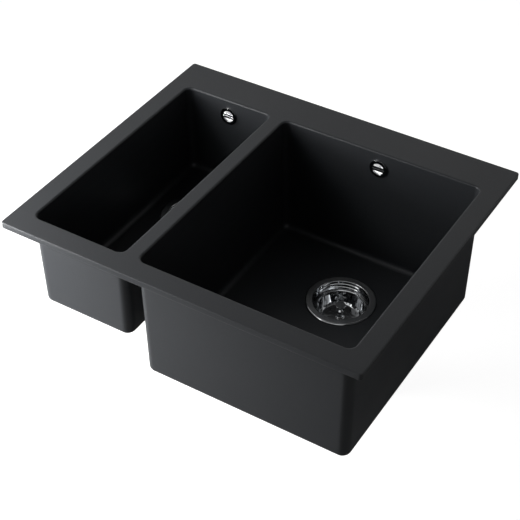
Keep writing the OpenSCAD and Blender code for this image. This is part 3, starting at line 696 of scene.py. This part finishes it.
def rim_outside(bm):
    """Edge of the rim, from its top round to the seal's groove.

    Returns its first and last loops.
    """

    def loop(inset, z, r):
        return plan_loop(bm, (0, 0), RIM_W - 2 * inset, RIM_D - 2 * inset, r, z)

    loops = [loop(RIM_TOP_R + HOLD, RIM_T, RIM_CORNER_R - RIM_TOP_R)]
    for a in arc_steps(EDGE_STEPS):
        run = RIM_TOP_R * (1 - math.sin(a))
        loops.append(loop(run, RIM_T - RIM_TOP_R * (1 - math.cos(a)), RIM_CORNER_R - run))
    for a in arc_steps(EDGE_STEPS):
        run = RIM_UNDER_R * (1 - math.cos(a))
        loops.append(loop(run, RIM_UNDER_R * (1 - math.sin(a)), RIM_CORNER_R - run))
    depth, width = GROOVE["depth"], GROOVE["width"]
    for into, z in [(0, 0), (0, depth), (width, depth), (width, 0)]:
        loops.append(loop(GROOVE["inset"] + into, z, GROOVE["corner"] - into))
    join_loops(bm, loops)
    return loops[0], loops[-1]


# Holes for the clip inserts and for the overflows, each cut past the surface by CUT_OVER
INSERT_R = 3.5
INSERT_H = 7.5
INSERTS_APART = 20
SPOT_R = 16.6
SLEEVE_HOLE_R = 12.5
RING_SEAT_R = 15.7
CUT_OVER = 3
CUTTER_SIDES = 96


def solids_of(node_name, apart):
    """Middles in plan, in millimetres, of the separate small solids that a node holds."""
    groups = []
    for v in frame["nodes"][node_name].data.vertices:
        place = Vector((v.co.x, v.co.y)) / MM
        near = next((g for g in groups if (place - g[0]).length < apart), None)
        if near:
            near.append(place)
        else:
            groups.append([place])
    return [[(min(s) + max(s)) / 2 for s in zip(*group)] for group in groups]


def holes_for_fittings():
    """Cylinders for the overflow holes, their flat spots and the clip inserts, as one cutter."""
    bm = bmesh.new()
    for bowl in DEPTHS:
        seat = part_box(f"{bowl}_overflow_ring")[1].y / MM
        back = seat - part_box(f"{bowl}_overflow_gasket")[0].y / MM
        outline = [
            (0, CUT_OVER),
            (RING_SEAT_R, CUT_OVER),
            (RING_SEAT_R, 0),
            (SLEEVE_HOLE_R, 0),
            (SLEEVE_HOLE_R, back),
            (SPOT_R, back),
            (SPOT_R, back - CUT_OVER),
            (0, back - CUT_OVER),
        ]
        centre = (BOWL_X[bowl], seat, RIM_T - OVERFLOW_DROP)
        lathe(bm, [Vector(p) for p in outline], centre, CUTTER_SIDES, "Y")
    well = [(0, -CUT_OVER), (INSERT_R, -CUT_OVER), (INSERT_R, INSERT_H), (0, INSERT_H)]
    for x, y in solids_of("clip_inserts", INSERTS_APART):
        lathe(bm, [Vector(p) for p in well], (x, y, 0), CUTTER_SIDES // 2)
    return from_bmesh("cutter", bm, COMPOSITE)


def make_sink_body():
    bm = bmesh.new()
    tops, holes = [], {}
    for bowl in DEPTHS:
        top, holes[bowl] = bowl_inside(bm, bowl)
        tops.append(top)
    unders = [bowl_outside(bm, bowl, holes[bowl]) for bowl in DEPTHS]
    rim_top, rim_under = rim_outside(bm)
    fill_between(bm, rim_top, *tops)
    fill_between(bm, rim_under, *unders)
    body = from_bmesh("sink_body_skin", bm, COMPOSITE)
    cutter = holes_for_fittings()
    cut = body.modifiers.new("fittings", "BOOLEAN")
    cut.object = cutter
    cut.operation = "DIFFERENCE"
    cut.solver = "EXACT"
    apply_modifiers(body)
    bpy.data.objects.remove(cutter)
    smooth(body.data, BODY_SHARP)
    finish_piece(body, "sink", "composite", "sink_body")


make_sink_body()


# Strainers
# Heights are from the bowl's floor, as in the frame
FLANGE = {"r": 57.5, "z": -1.44, "t": 1.8, "rise": 0.5, "throat": 45.5, "under_throat": 46.3}
FLANGE_TOP = {"inside": 3.5, "outside": 1.3, "slope": 0.1, "edge_h": 0.9}
THROAT_STEPS = 3
THROAT_LIP = 0.6
THROAT_DROP = 15
CUP_R = 41.3
STEEL_T = 1.2
SEAT_Z = -48.94
SUMP_R = 31
HUB_Z = -60.14
SPIDER = {"t": 2, "hub_r": 9.0, "spoke_w": 5.0, "bore_r": 4.1, "reach": SUMP_R + 0.4}
SPOKES = 4
HUB_STEPS = 6
# Facets round each turned piece of steel
FACETS = {"cup": 180, "hub_bore": 40, "basket": 160, "knob": 96, "overflow_ring": 120}


def strainer_cup(bowl):
    zf, zt = FLANGE["z"], FLANGE["z"] + FLANGE["t"] + FLANGE["rise"]
    top = zt - THROAT_DROP
    step_in = (FLANGE["throat"] - CUP_R) / THROAT_STEPS / 2
    step_drop = THROAT_DROP / THROAT_STEPS
    bottom = HUB_Z - SPIDER["t"]
    outline = [
        (SUMP_R, bottom, 0),
        (SUMP_R, SEAT_Z, 0.6),
        (CUP_R, SEAT_Z, 1.2),
        (CUP_R, top, 0.5),
    ]
    for i in range(THROAT_STEPS, 0, -1):
        r = FLANGE["throat"] - (2 * i - 1) * step_in
        drop, fillet = (THROAT_LIP, 0.5) if i > 1 else (0, 1.5)
        outline += [
            (r, zt - i * step_drop, 0.5),
            (r + step_in, zt - (i - 1) * step_drop - drop, fillet),
        ]
    outline += [
        (FLANGE["throat"] + FLANGE_TOP["inside"], zt, 3),
        (FLANGE["r"] - FLANGE_TOP["outside"], zt - FLANGE_TOP["slope"], 2),
        (FLANGE["r"], zf + FLANGE_TOP["edge_h"], 0.5),
        (FLANGE["r"], zf, 0.2),
        (FLANGE["under_throat"], zf, 0.2),
        (CUP_R + STEEL_T, top - STEEL_T, 0.4),
        (CUP_R + STEEL_T, SEAT_Z - STEEL_T, 0.6),
        (SUMP_R + STEEL_T, SEAT_Z - STEEL_T, 0.4),
        (SUMP_R + STEEL_T, bottom, 0),
    ]
    bm = bmesh.new()
    turned(bm, outline, (DRAIN_X[bowl], DRAIN_Y, FLOOR_Z[bowl]), FACETS["cup"])
    spider(bm, bowl)
    cup = from_bmesh(f"{bowl}_strainer_cup_skin", bm, STEEL, STEEL_SHARP)
    finish_piece(cup, "sink", "polished_steel", f"{bowl}_strainer_cup")


def spider(bm, bowl):
    """Hub and spokes across the sump, as one flat plate."""
    x, y, floor = DRAIN_X[bowl], DRAIN_Y, FLOOR_Z[bowl]
    hub, half, reach = SPIDER["hub_r"], SPIDER["spoke_w"] / 2, SPIDER["reach"]
    bend, quarter = math.asin(half / hub), 2 * math.pi / SPOKES
    outer = []
    for s in range(SPOKES):
        base = quarter * s
        along = Vector((math.cos(base), math.sin(base)))
        across = Vector((-along.y, along.x))
        outer += [along * reach - across * half, along * reach + across * half]
        for k in range(HUB_STEPS + 1):
            a = base + bend + (quarter - 2 * bend) * k / HUB_STEPS
            outer.append(Vector((math.cos(a), math.sin(a))) * hub)
    sides = []
    for z in (floor + HUB_Z, floor + HUB_Z - SPIDER["t"]):
        loop = [bm.verts.new(Vector((p.x + x, p.y + y, z)) * MM) for p in outer]
        hole = circle_loop(bm, (x, y), SPIDER["bore_r"], z, FACETS["hub_bore"])
        fill_between(bm, loop, hole)
        sides.append((loop, hole))
    for upper, lower in zip(*sides):
        join_loops(bm, [upper, lower])


for each in DEPTHS:
    strainer_cup(each)

BASKET = {"rim_z": -14.14, "drop": 24, "rim_r": 39.8, "floor_r": 31, "foot": 4, "t": 0.8}
# Corners of the rolled rim: out from the rim's radius, up from the basket's height, fillet
BASKET_ROLL = [(-0.4, -0.6, 0.3), (0.5, -0.9, 0.5), (0.9, 0.1, 0.7), (-0.1, 0.9, 0.7)]
BASKET_BORE_R = 3.1
# Length in metres of the cutters for slots and holes, and the sides of those for holes
CUTTER_L = 0.012
HOLE_SIDES = 16


def perforation_tree():
    """Cuts a ring of slots and a ring of holes in a basket on the origin, in metres."""
    tree, given, out = new_tree(
        "perforations",
        "GeometryNodeTree",
        [
            ("Geometry", "NodeSocketGeometry", None),
            ("Slot count", "NodeSocketInt", 20),
            ("Hole count", "NodeSocketInt", 36),
            ("Slot width", "NodeSocketFloat", 0.0022),
            ("Slot height", "NodeSocketFloat", 0.010),
            ("Slot ring", "NodeSocketFloat", 0.037),
            ("Slot middle", "NodeSocketFloat", 0.0164),
            ("Hole radius", "NodeSocketFloat", 0.001),
            ("Hole ring", "NodeSocketFloat", 0.033),
            ("Hole height", "NodeSocketFloat", 0.0034),
            ("Material", "NodeSocketMaterial", None),
        ],
        [("Geometry", "NodeSocketGeometry")],
    )

    def ring_of(count, radius, height, cutter):
        circle = node(
            tree,
            "GeometryNodeMeshCircle",
            {"Vertices": given.outputs[count], "Radius": given.outputs[radius]},
        )
        lift = node(tree, "ShaderNodeCombineXYZ", {"Z": given.outputs[height]})
        raised = node(
            tree,
            "GeometryNodeTransform",
            {"Geometry": circle.outputs[0], "Translation": lift.outputs[0]},
        )
        place = node(tree, "GeometryNodeInputPosition").outputs[0]
        flat = node(tree, "ShaderNodeVectorMath", {0: place, 1: (1, 1, 0)}, operation="MULTIPLY")
        aim = node(
            tree,
            "FunctionNodeAlignRotationToVector",
            {"Vector": flat.outputs[0]},
            axis="X",
        )
        put = node(
            tree,
            "GeometryNodeInstanceOnPoints",
            {"Points": raised.outputs[0], "Instance": cutter, "Rotation": aim.outputs[0]},
        )
        return node(tree, "GeometryNodeRealizeInstances", {"Geometry": put.outputs[0]}).outputs[0]

    slot_size = node(
        tree,
        "ShaderNodeCombineXYZ",
        {"X": CUTTER_L, "Y": given.outputs["Slot width"], "Z": given.outputs["Slot height"]},
    )
    slot = node(tree, "GeometryNodeMeshCube", {"Size": slot_size.outputs[0]})
    hole = node(
        tree,
        "GeometryNodeMeshCylinder",
        {"Vertices": HOLE_SIDES, "Radius": given.outputs["Hole radius"], "Depth": CUTTER_L},
    )
    lying = node(
        tree,
        "GeometryNodeTransform",
        {"Geometry": hole.outputs[0], "Rotation": (0, math.pi / 2, 0)},
    )
    slots = ring_of("Slot count", "Slot ring", "Slot middle", slot.outputs[0])
    holes = ring_of("Hole count", "Hole ring", "Hole height", lying.outputs[0])
    left = given.outputs["Geometry"]
    for cutters in (slots, holes):
        cut = node(tree, "GeometryNodeMeshBoolean", {"Mesh 1": left, "Mesh 2": cutters})
        left = cut.outputs[0]
    end_tree(tree, left, given, out)
    return tree


def end_tree(tree, shape, given, out):
    """Ends a tree in plain geometry with its material."""
    real = node(tree, "GeometryNodeRealizeInstances", {"Geometry": shape})
    paint = node(
        tree,
        "GeometryNodeSetMaterial",
        {"Geometry": real.outputs[0], "Material": given.outputs["Material"]},
    )
    tree.links.new(paint.outputs[0], out.inputs[0])


PERFORATIONS = perforation_tree()


def shape_with(obj, tree, sharp, **values):
    """Runs a tree on a piece with its inputs set, and keeps the result as the piece's mesh."""
    modifier = obj.modifiers.new(tree.name, "NODES")
    modifier.node_group = tree
    for socket in tree.interface.items_tree:
        if socket.in_out == "INPUT" and socket.name.replace(" ", "_") in values:
            modifier[socket.identifier] = values[socket.name.replace(" ", "_")]
    apply_modifiers(obj)
    smooth(obj.data, sharp)


def basket(bowl):
    """A pressed basket, turned from its bore out, up to its rolled rim and back inside."""
    b = BASKET
    low = b["rim_z"] - b["drop"]
    outline = [
        (BASKET_BORE_R, 0, 0),
        (b["floor_r"], 0, 3.4),
        (b["floor_r"] + b["foot"], b["foot"], 2),
        *((b["rim_r"] + out, b["drop"] + up, fillet) for out, up, fillet in BASKET_ROLL),
        (b["rim_r"] - b["t"] - 0.4, b["drop"] - 0.4, 0.6),
        (b["floor_r"] + b["foot"] - b["t"], b["foot"] + b["t"] / 2, 2),
        (b["floor_r"] - b["t"] / 2, b["t"], 2.6),
        (BASKET_BORE_R, b["t"], 0),
    ]
    bm = bmesh.new()
    turned(bm, outline, (0, 0, 0), FACETS["basket"])
    made = from_bmesh(f"{bowl}_basket_skin", bm, STEEL, STEEL_SHARP)
    shape_with(made, PERFORATIONS, STEEL_SHARP, Material=STEEL)
    place = Vector((DRAIN_X[bowl], DRAIN_Y, FLOOR_Z[bowl] + low)) * MM
    made.data.transform(Matrix.Translation(place))
    finish_piece(made, f"{bowl}_basket_unit", "polished_steel", f"{bowl}_basket")


KNOB_TOP = -9.8
KNOB_R = 8.5
STEM_R = 3
FOOT_R = 7.4
# Bends of the post between its foot and its head: radius, share of its height, fillet
POST = [
    (3.1, 0.22, 1.5),
    (5.8, 0.38, 2.5),
    (5.8, 0.54, 2.5),
    (2.4, 0.66, 1),
    (2.9, 0.74, 1.5),
]


def knob(bowl):
    """A mushroom knob on a waisted post, turned from its stem's end up to its top."""
    base = BASKET["rim_z"] - BASKET["drop"] + BASKET["t"]
    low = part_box(f"{bowl}_knob")[0].z / MM - FLOOR_Z[bowl]
    h = KNOB_TOP - base
    outline = [
        (0, low, 0),
        (STEM_R - 0.4, low, 0),
        (STEM_R, low + 0.8, 0.4),
        (STEM_R, base, 0),
        (FOOT_R, base, 0.3),
        (FOOT_R, base + 1.4, 0.8),
        (4.2, base + 3, 1),
        *((r, base + share * h, fillet) for r, share, fillet in POST),
        (KNOB_R, KNOB_TOP - 1.5, 0.8),
        (KNOB_R, KNOB_TOP - 0.1, 0.5),
        (KNOB_R - 1.6, KNOB_TOP, 0.4),
        (0, KNOB_TOP, 0),
    ]
    bm = bmesh.new()
    centre = (DRAIN_X[bowl], DRAIN_Y, FLOOR_Z[bowl])
    lathe(bm, rounded_outline(outline), centre, FACETS["knob"])
    made = from_bmesh(f"{bowl}_knob_skin", bm, STEEL, STEEL_SHARP)
    finish_piece(made, f"{bowl}_basket_unit", "polished_steel", f"{bowl}_knob")


for each in DEPTHS:
    basket(each)
    knob(each)


# Overflow rings
# Of the ring's bevel, the width, and the share of the thickness at which it ends
RING = {"r": 15.4, "hole": 9.7, "t": 2.6, "edge": 0.4, "rim_edge": 0.1, "bevel": (0.3, 0.85)}
BAR = {"h": 8.6, "t": 1.9, "set_in": 0.7, "groove": 0.14, "reach": RING["hole"] + 0.3}


def overflow_ring(bowl):
    """A flat ring with a grooved bar across it, on its seat in the back wall."""
    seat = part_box(f"{bowl}_overflow_ring")[1].y / MM
    centre = (BOWL_X[bowl], seat, RIM_T - OVERFLOW_DROP)
    r = RING
    outline = [
        (r["hole"], 0, 0),
        (r["r"], 0, 0),
        (r["r"], r["t"], r["rim_edge"]),
        (r["hole"] + r["bevel"][0], r["t"], r["edge"]),
        (r["hole"], r["t"] * r["bevel"][1], r["edge"]),
    ]
    bm = bmesh.new()
    turned(bm, outline, centre, FACETS["overflow_ring"], "Y")
    half, face, groove = BAR["h"] / 2, BAR["t"], BAR["groove"]
    # The bar's section, from the middle of its back all round to just beside it
    corners = rounded_outline(
        [
            (0, 0, 0),
            (-half, 0, 0.1),
            (-half, face, r["edge"]),
            (-groove, face, 0.05),
            (0, face - groove, 0.05),
            (groove, face, 0.05),
            (half, face, r["edge"]),
            (half, 0, 0.1),
            (0.001, 0, 0),
        ]
    )
    bar = [Vector((0, -(p.y + BAR["set_in"]), p.x)) for p in hold_flats(corners)]
    loops = []
    for x in (-BAR["reach"], BAR["reach"]):
        middle = Vector(centre) + Vector((x, 0, 0))
        loops.append([bm.verts.new((middle + p) * MM) for p in bar])
    join_loops(bm, loops)
    for loop in loops:
        bm.faces.new(loop)
    made = from_bmesh(f"{bowl}_overflow_ring_skin", bm, STEEL, STEEL_SHARP)
    finish_piece(made, "sink", "polished_steel", f"{bowl}_overflow_ring")


for each in DEPTHS:
    overflow_ring(each)


# Overflow hoses
# The middle of each hose falls at "back" behind its overflow's seat
HOSE = {"r": 13, "bore_r": 9.8, "bend_r": 35, "back": 19}
RIB = {"pitch": 5.5, "d": 1.6}
CUFF = {"l": 26, "in": 0.6, "edge": 0.4, "step": 0.01}
# Facets round a hose here and in the frame, and stations along each rib
HOSE_SIDES = 40
CAD_HOSE_SIDES = 8
RIB_STEPS = 10


def rib_tree():
    """Pushes the outside of a plain tube out into round ribs between its two smooth cuffs."""
    tree, given, out = new_tree(
        "hose_ribs",
        "GeometryNodeTree",
        [
            ("Geometry", "NodeSocketGeometry", None),
            ("Hose length", "NodeSocketFloat", 0.25),
            ("Cuff length", "NodeSocketFloat", 0.026),
            ("Cuff height", "NodeSocketFloat", 0.001),
            ("Rib height", "NodeSocketFloat", 0.0016),
            ("Pitch", "NodeSocketFloat", 0.005),
            ("Fullness", "NodeSocketFloat", 0.7),
            ("Material", "NodeSocketMaterial", None),
        ],
        [("Geometry", "NodeSocketGeometry")],
    )

    def attribute(name, kind):
        made = node(tree, "GeometryNodeInputNamedAttribute", {"Name": name}, data_type=kind)
        return made.outputs["Attribute"]

    along, outward = attribute("along", "FLOAT"), attribute("outward", "FLOAT_VECTOR")
    cuff, length = given.outputs["Cuff length"], given.outputs["Hose length"]
    past = maths(tree, "SUBTRACT", along, cuff)
    turn = maths(tree, "MULTIPLY", maths(tree, "DIVIDE", past, given.outputs["Pitch"]), math.pi)
    swing = maths(tree, "ABSOLUTE", maths(tree, "SINE", turn))
    wave = maths(tree, "POWER", swing, given.outputs["Fullness"])
    before_end = maths(tree, "LESS_THAN", along, maths(tree, "SUBTRACT", length, cuff))
    ribbed = maths(tree, "MULTIPLY", maths(tree, "GREATER_THAN", past), before_end)
    full = maths(tree, "MULTIPLY", wave, given.outputs["Rib height"])
    rib = maths(tree, "MULTIPLY", full, ribbed)
    smooth_part = maths(tree, "SUBTRACT", 1.0, ribbed)
    plain = maths(tree, "MULTIPLY", smooth_part, given.outputs["Cuff height"])
    offset = node(
        tree,
        "ShaderNodeVectorMath",
        {0: outward, "Scale": maths(tree, "ADD", rib, plain)},
        operation="SCALE",
    )
    moved = node(
        tree,
        "GeometryNodeSetPosition",
        {"Geometry": given.outputs["Geometry"], "Offset": offset.outputs["Vector"]},
    )
    end_tree(tree, moved.outputs[0], given, out)
    return tree


RIBS = rib_tree()


def overflow_hose(bowl):
    """A hose that falls behind the bowl, bends once and runs forward to the waste body."""
    low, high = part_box(f"{bowl}_overflow_hose")
    bend_r, cuff_l = HOSE["bend_r"], CUFF["l"]
    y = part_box(f"{bowl}_overflow_ring")[1].y / MM + HOSE["back"]
    top, front = high.z / MM, low.y / MM
    bottom = low.z / MM + HOSE["r"] * math.cos(math.pi / CAD_HOSE_SIDES)
    fall, arc = top - bottom - bend_r, math.pi / 2 * bend_r
    length = fall + arc + y - bend_r - front
    ribs = math.floor((length - 2 * cuff_l) / RIB["pitch"])
    pitch = (length - 2 * cuff_l) / ribs
    ends = [0, CUFF["edge"], cuff_l / 2, cuff_l - CUFF["step"]]
    ribbed = [cuff_l + pitch * k / RIB_STEPS for k in range(ribs * RIB_STEPS + 1)]
    stations = ends + ribbed + [length - s for s in reversed(ends)]
    bm = bmesh.new()
    along = bm.verts.layers.float.new("along")
    outward = bm.verts.layers.float_vector.new("outward")

    def ring(s, r, out):
        bend = max(0, min(1, (s - fall) / arc)) * math.pi / 2
        down, on = min(s, fall), max(0, s - fall - arc)
        forward, drop = bend_r * (1 - math.cos(bend)) + on, bend_r * math.sin(bend) + down
        middle = Vector((BOWL_X[bowl], y - forward, top - drop))
        tilt = Matrix.Rotation(bend, 3, "X")
        made = []
        for k in range(HOSE_SIDES):
            a = 2 * math.pi * k / HOSE_SIDES
            away = tilt @ Vector((math.cos(a), math.sin(a), 0))
            v = bm.verts.new((middle + away * r) * MM)
            v[along] = s * MM
            v[outward] = away * out
            made.append(v)
        return made

    rings = [ring(s, HOSE["r"] - RIB["d"], 1) for s in stations]
    # The smooth bore keeps both ends, and needs only some of the stations between them
    bore = [s for s in reversed(stations) if s % 1 < 0.5 or s in (0, length)]
    rings += [ring(s, HOSE["bore_r"], 0) for s in bore]
    join_loops(bm, rings + rings[:1])
    made = from_bmesh(f"{bowl}_overflow_hose_skin", bm, HOSE_PLASTIC, HOSE_SHARP)
    shape_with(
        made,
        RIBS,
        HOSE_SHARP,
        Hose_length=length * MM,
        Cuff_length=cuff_l * MM,
        Cuff_height=(RIB["d"] - CUFF["in"]) * MM,
        Rib_height=RIB["d"] * MM,
        Pitch=pitch * MM,
        Material=HOSE_PLASTIC,
    )
    finish_piece(made, "sink", "grey_hose", f"{bowl}_overflow_hose")


for each in DEPTHS:
    overflow_hose(each)


# Other pieces keep their shape from the frame and take a finish here
FINISHES = {
    "composite": COMPOSITE,
    "polished_steel": STEEL,
    "zinc_steel": ZINC,
    "brass": BRASS,
    "rubber": RUBBER,
    "white_plastic": PLASTIC,
    "overflow_white": GLOWING_PLASTIC,
    "grey_hose": HOSE_PLASTIC,
}
for part in frame["record"]["subparts"]:
    carried = frame["nodes"][part["node"]]
    carried.data.materials.clear()
    carried.data.materials.append(FINISHES[part["material_slot"]])


# Floor, backdrop and lights
FLOOR_SIZE = 6
FLOOR_COLOR = (0.35, 0.35, 0.35, 1)
FLOOR_ROUGHNESS = 0.9
FLOOR_GLOW = 0.94
# Distances from the sink's middle, in metres, between which gloss begins to see the white floor
NEAR_FLOOR = 0.8
FAR_FLOOR = 1.8
# The backdrop ends below a dim ceiling: the sines of the heights between which it fades
CEILING_SINES = (0.72, 0.85)
CEILING_LEVEL = 0.03
WORLD_LEVEL = 0.02
WHITE = (1, 1, 1, 1)
# Name, compass angle and height angle in degrees, distance and size in metres, power in watts
LAMPS = [
    ("front_left_low", -142, 0, 0.76, 0.4, 14.5),
    ("front_left", -150, 25, 1.1, 0.6, 8.2),
    ("front_left_high", -140, 35, 0.9, 0.5, 2.0),
    ("left_high", -170, 35, 0.9, 0.5, 2.0),
    ("back_left", 150, 35, 2.2, 1.2, 2.0),
    ("back", 90, 35, 2.2, 1.2, 0.6),
    ("high_left", 180, 62, 2.2, 1.2, 0.7),
]
LAMPS_AIM = Vector((0, 0, -0.05))
OVER_BOWL = {"height": 1.8, "angle": 11, "size": 0.1, "power": 26}


def shown_rays(tree, far=1.0):
    """1 on rays to the camera, and far on those from gloss and through glass."""
    rays = node(tree, "ShaderNodeLightPath").outputs
    gloss = maths(tree, "MAXIMUM", rays["Is Glossy Ray"], rays["Is Transmission Ray"])
    return maths(tree, "MAXIMUM", rays["Is Camera Ray"], maths(tree, "MULTIPLY", gloss, far))


def far_from_sink(tree, place):
    """0 near the sink, where gloss sees the floor's light and shadow, and 1 far from it."""
    away = node(tree, "ShaderNodeVectorMath", {0: place}, operation="LENGTH").outputs["Value"]
    return fade(tree, away, NEAR_FLOOR, FAR_FLOOR, 0, 1, interpolation_type="SMOOTHSTEP")


def mix_shaders(tree, factor, plain, shown):
    mix = node(tree, "ShaderNodeMixShader", {"Fac": factor, 1: plain, 2: shown})
    return mix.outputs["Shader"]


def make_floor():
    bm = bmesh.new()
    bmesh.ops.create_grid(bm, x_segments=1, y_segments=1, size=FLOOR_SIZE)
    mesh = bpy.data.meshes.new("floor")
    bm.to_mesh(mesh)
    bm.free()
    floor = add_object("floor", mesh)
    floor.location.z = CAD_BOX[0].z
    material, tree, shader, place = new_material("pale_floor")
    connect(tree, shader, {"Base Color": FLOOR_COLOR, "Roughness": FLOOR_ROUGHNESS})
    lit = node(tree, "ShaderNodeBsdfDiffuse", {"Color": FLOOR_COLOR}).outputs[0]
    glow = node(tree, "ShaderNodeEmission", {"Color": WHITE, "Strength": FLOOR_GLOW}).outputs[0]
    white = node(tree, "ShaderNodeAddShader", {0: lit, 1: glow}).outputs[0]
    shown = shown_rays(tree, far_from_sink(tree, place))
    surface = mix_shaders(tree, shown, shader.outputs[0], white)
    connect(tree, tree.nodes["Material Output"], {"Surface": surface})
    mesh.materials.append(material)


def make_world():
    world = bpy.data.worlds.new("studio")
    bpy.context.scene.world = world
    world.use_nodes = True
    tree = world.node_tree
    tree.nodes.clear()
    soft = node(tree, "ShaderNodeBackground", {"Color": WHITE, "Strength": WORLD_LEVEL})
    way = tree.nodes.new("ShaderNodeTexCoord").outputs["Generated"]
    up = node(tree, "ShaderNodeSeparateXYZ", {"Vector": way}).outputs["Z"]
    level = fade(tree, up, *CEILING_SINES, 1.0, CEILING_LEVEL)
    white = node(tree, "ShaderNodeBackground", {"Color": WHITE, "Strength": level})
    surface = mix_shaders(tree, shown_rays(tree), soft.outputs[0], white.outputs[0])
    node(tree, "ShaderNodeOutputWorld", {"Surface": surface})


def disc_lamp(name, turn, height, distance, size, power):
    """A round soft lamp at a compass angle and a height angle from the sink, in degrees."""
    turn, height = math.radians(turn), math.radians(height)
    data = bpy.data.lights.new(name, "AREA")
    data.shape = "DISK"
    data.size = size
    data.energy = power
    made = bpy.data.objects.new(name, data)
    flat = math.cos(height)
    way = Vector((math.cos(turn) * flat, math.sin(turn) * flat, math.sin(height)))
    made.location = distance * way
    made.rotation_euler = (LAMPS_AIM - made.location).to_track_quat("-Z", "Y").to_euler()
    made.visible_camera = False
    bpy.context.scene.collection.objects.link(made)


def bowl_lamp():
    """A narrow soft lamp straight over the large bowl, for its floor."""
    data = bpy.data.lights.new("over_bowl", "SPOT")
    data.energy = OVER_BOWL["power"]
    data.spot_size = math.radians(OVER_BOWL["angle"])
    data.spot_blend = 1
    data.shadow_soft_size = OVER_BOWL["size"]
    made = bpy.data.objects.new("over_bowl", data)
    made.location = (BOWL_X["main"] * MM, 0, OVER_BOWL["height"])
    made.visible_camera = False
    made.visible_glossy = False
    bpy.context.scene.collection.objects.link(made)


make_floor()
make_world()
for lamp in LAMPS:
    disc_lamp(*lamp)
bowl_lamp()

bpy.context.scene.view_settings.view_transform = "Standard"
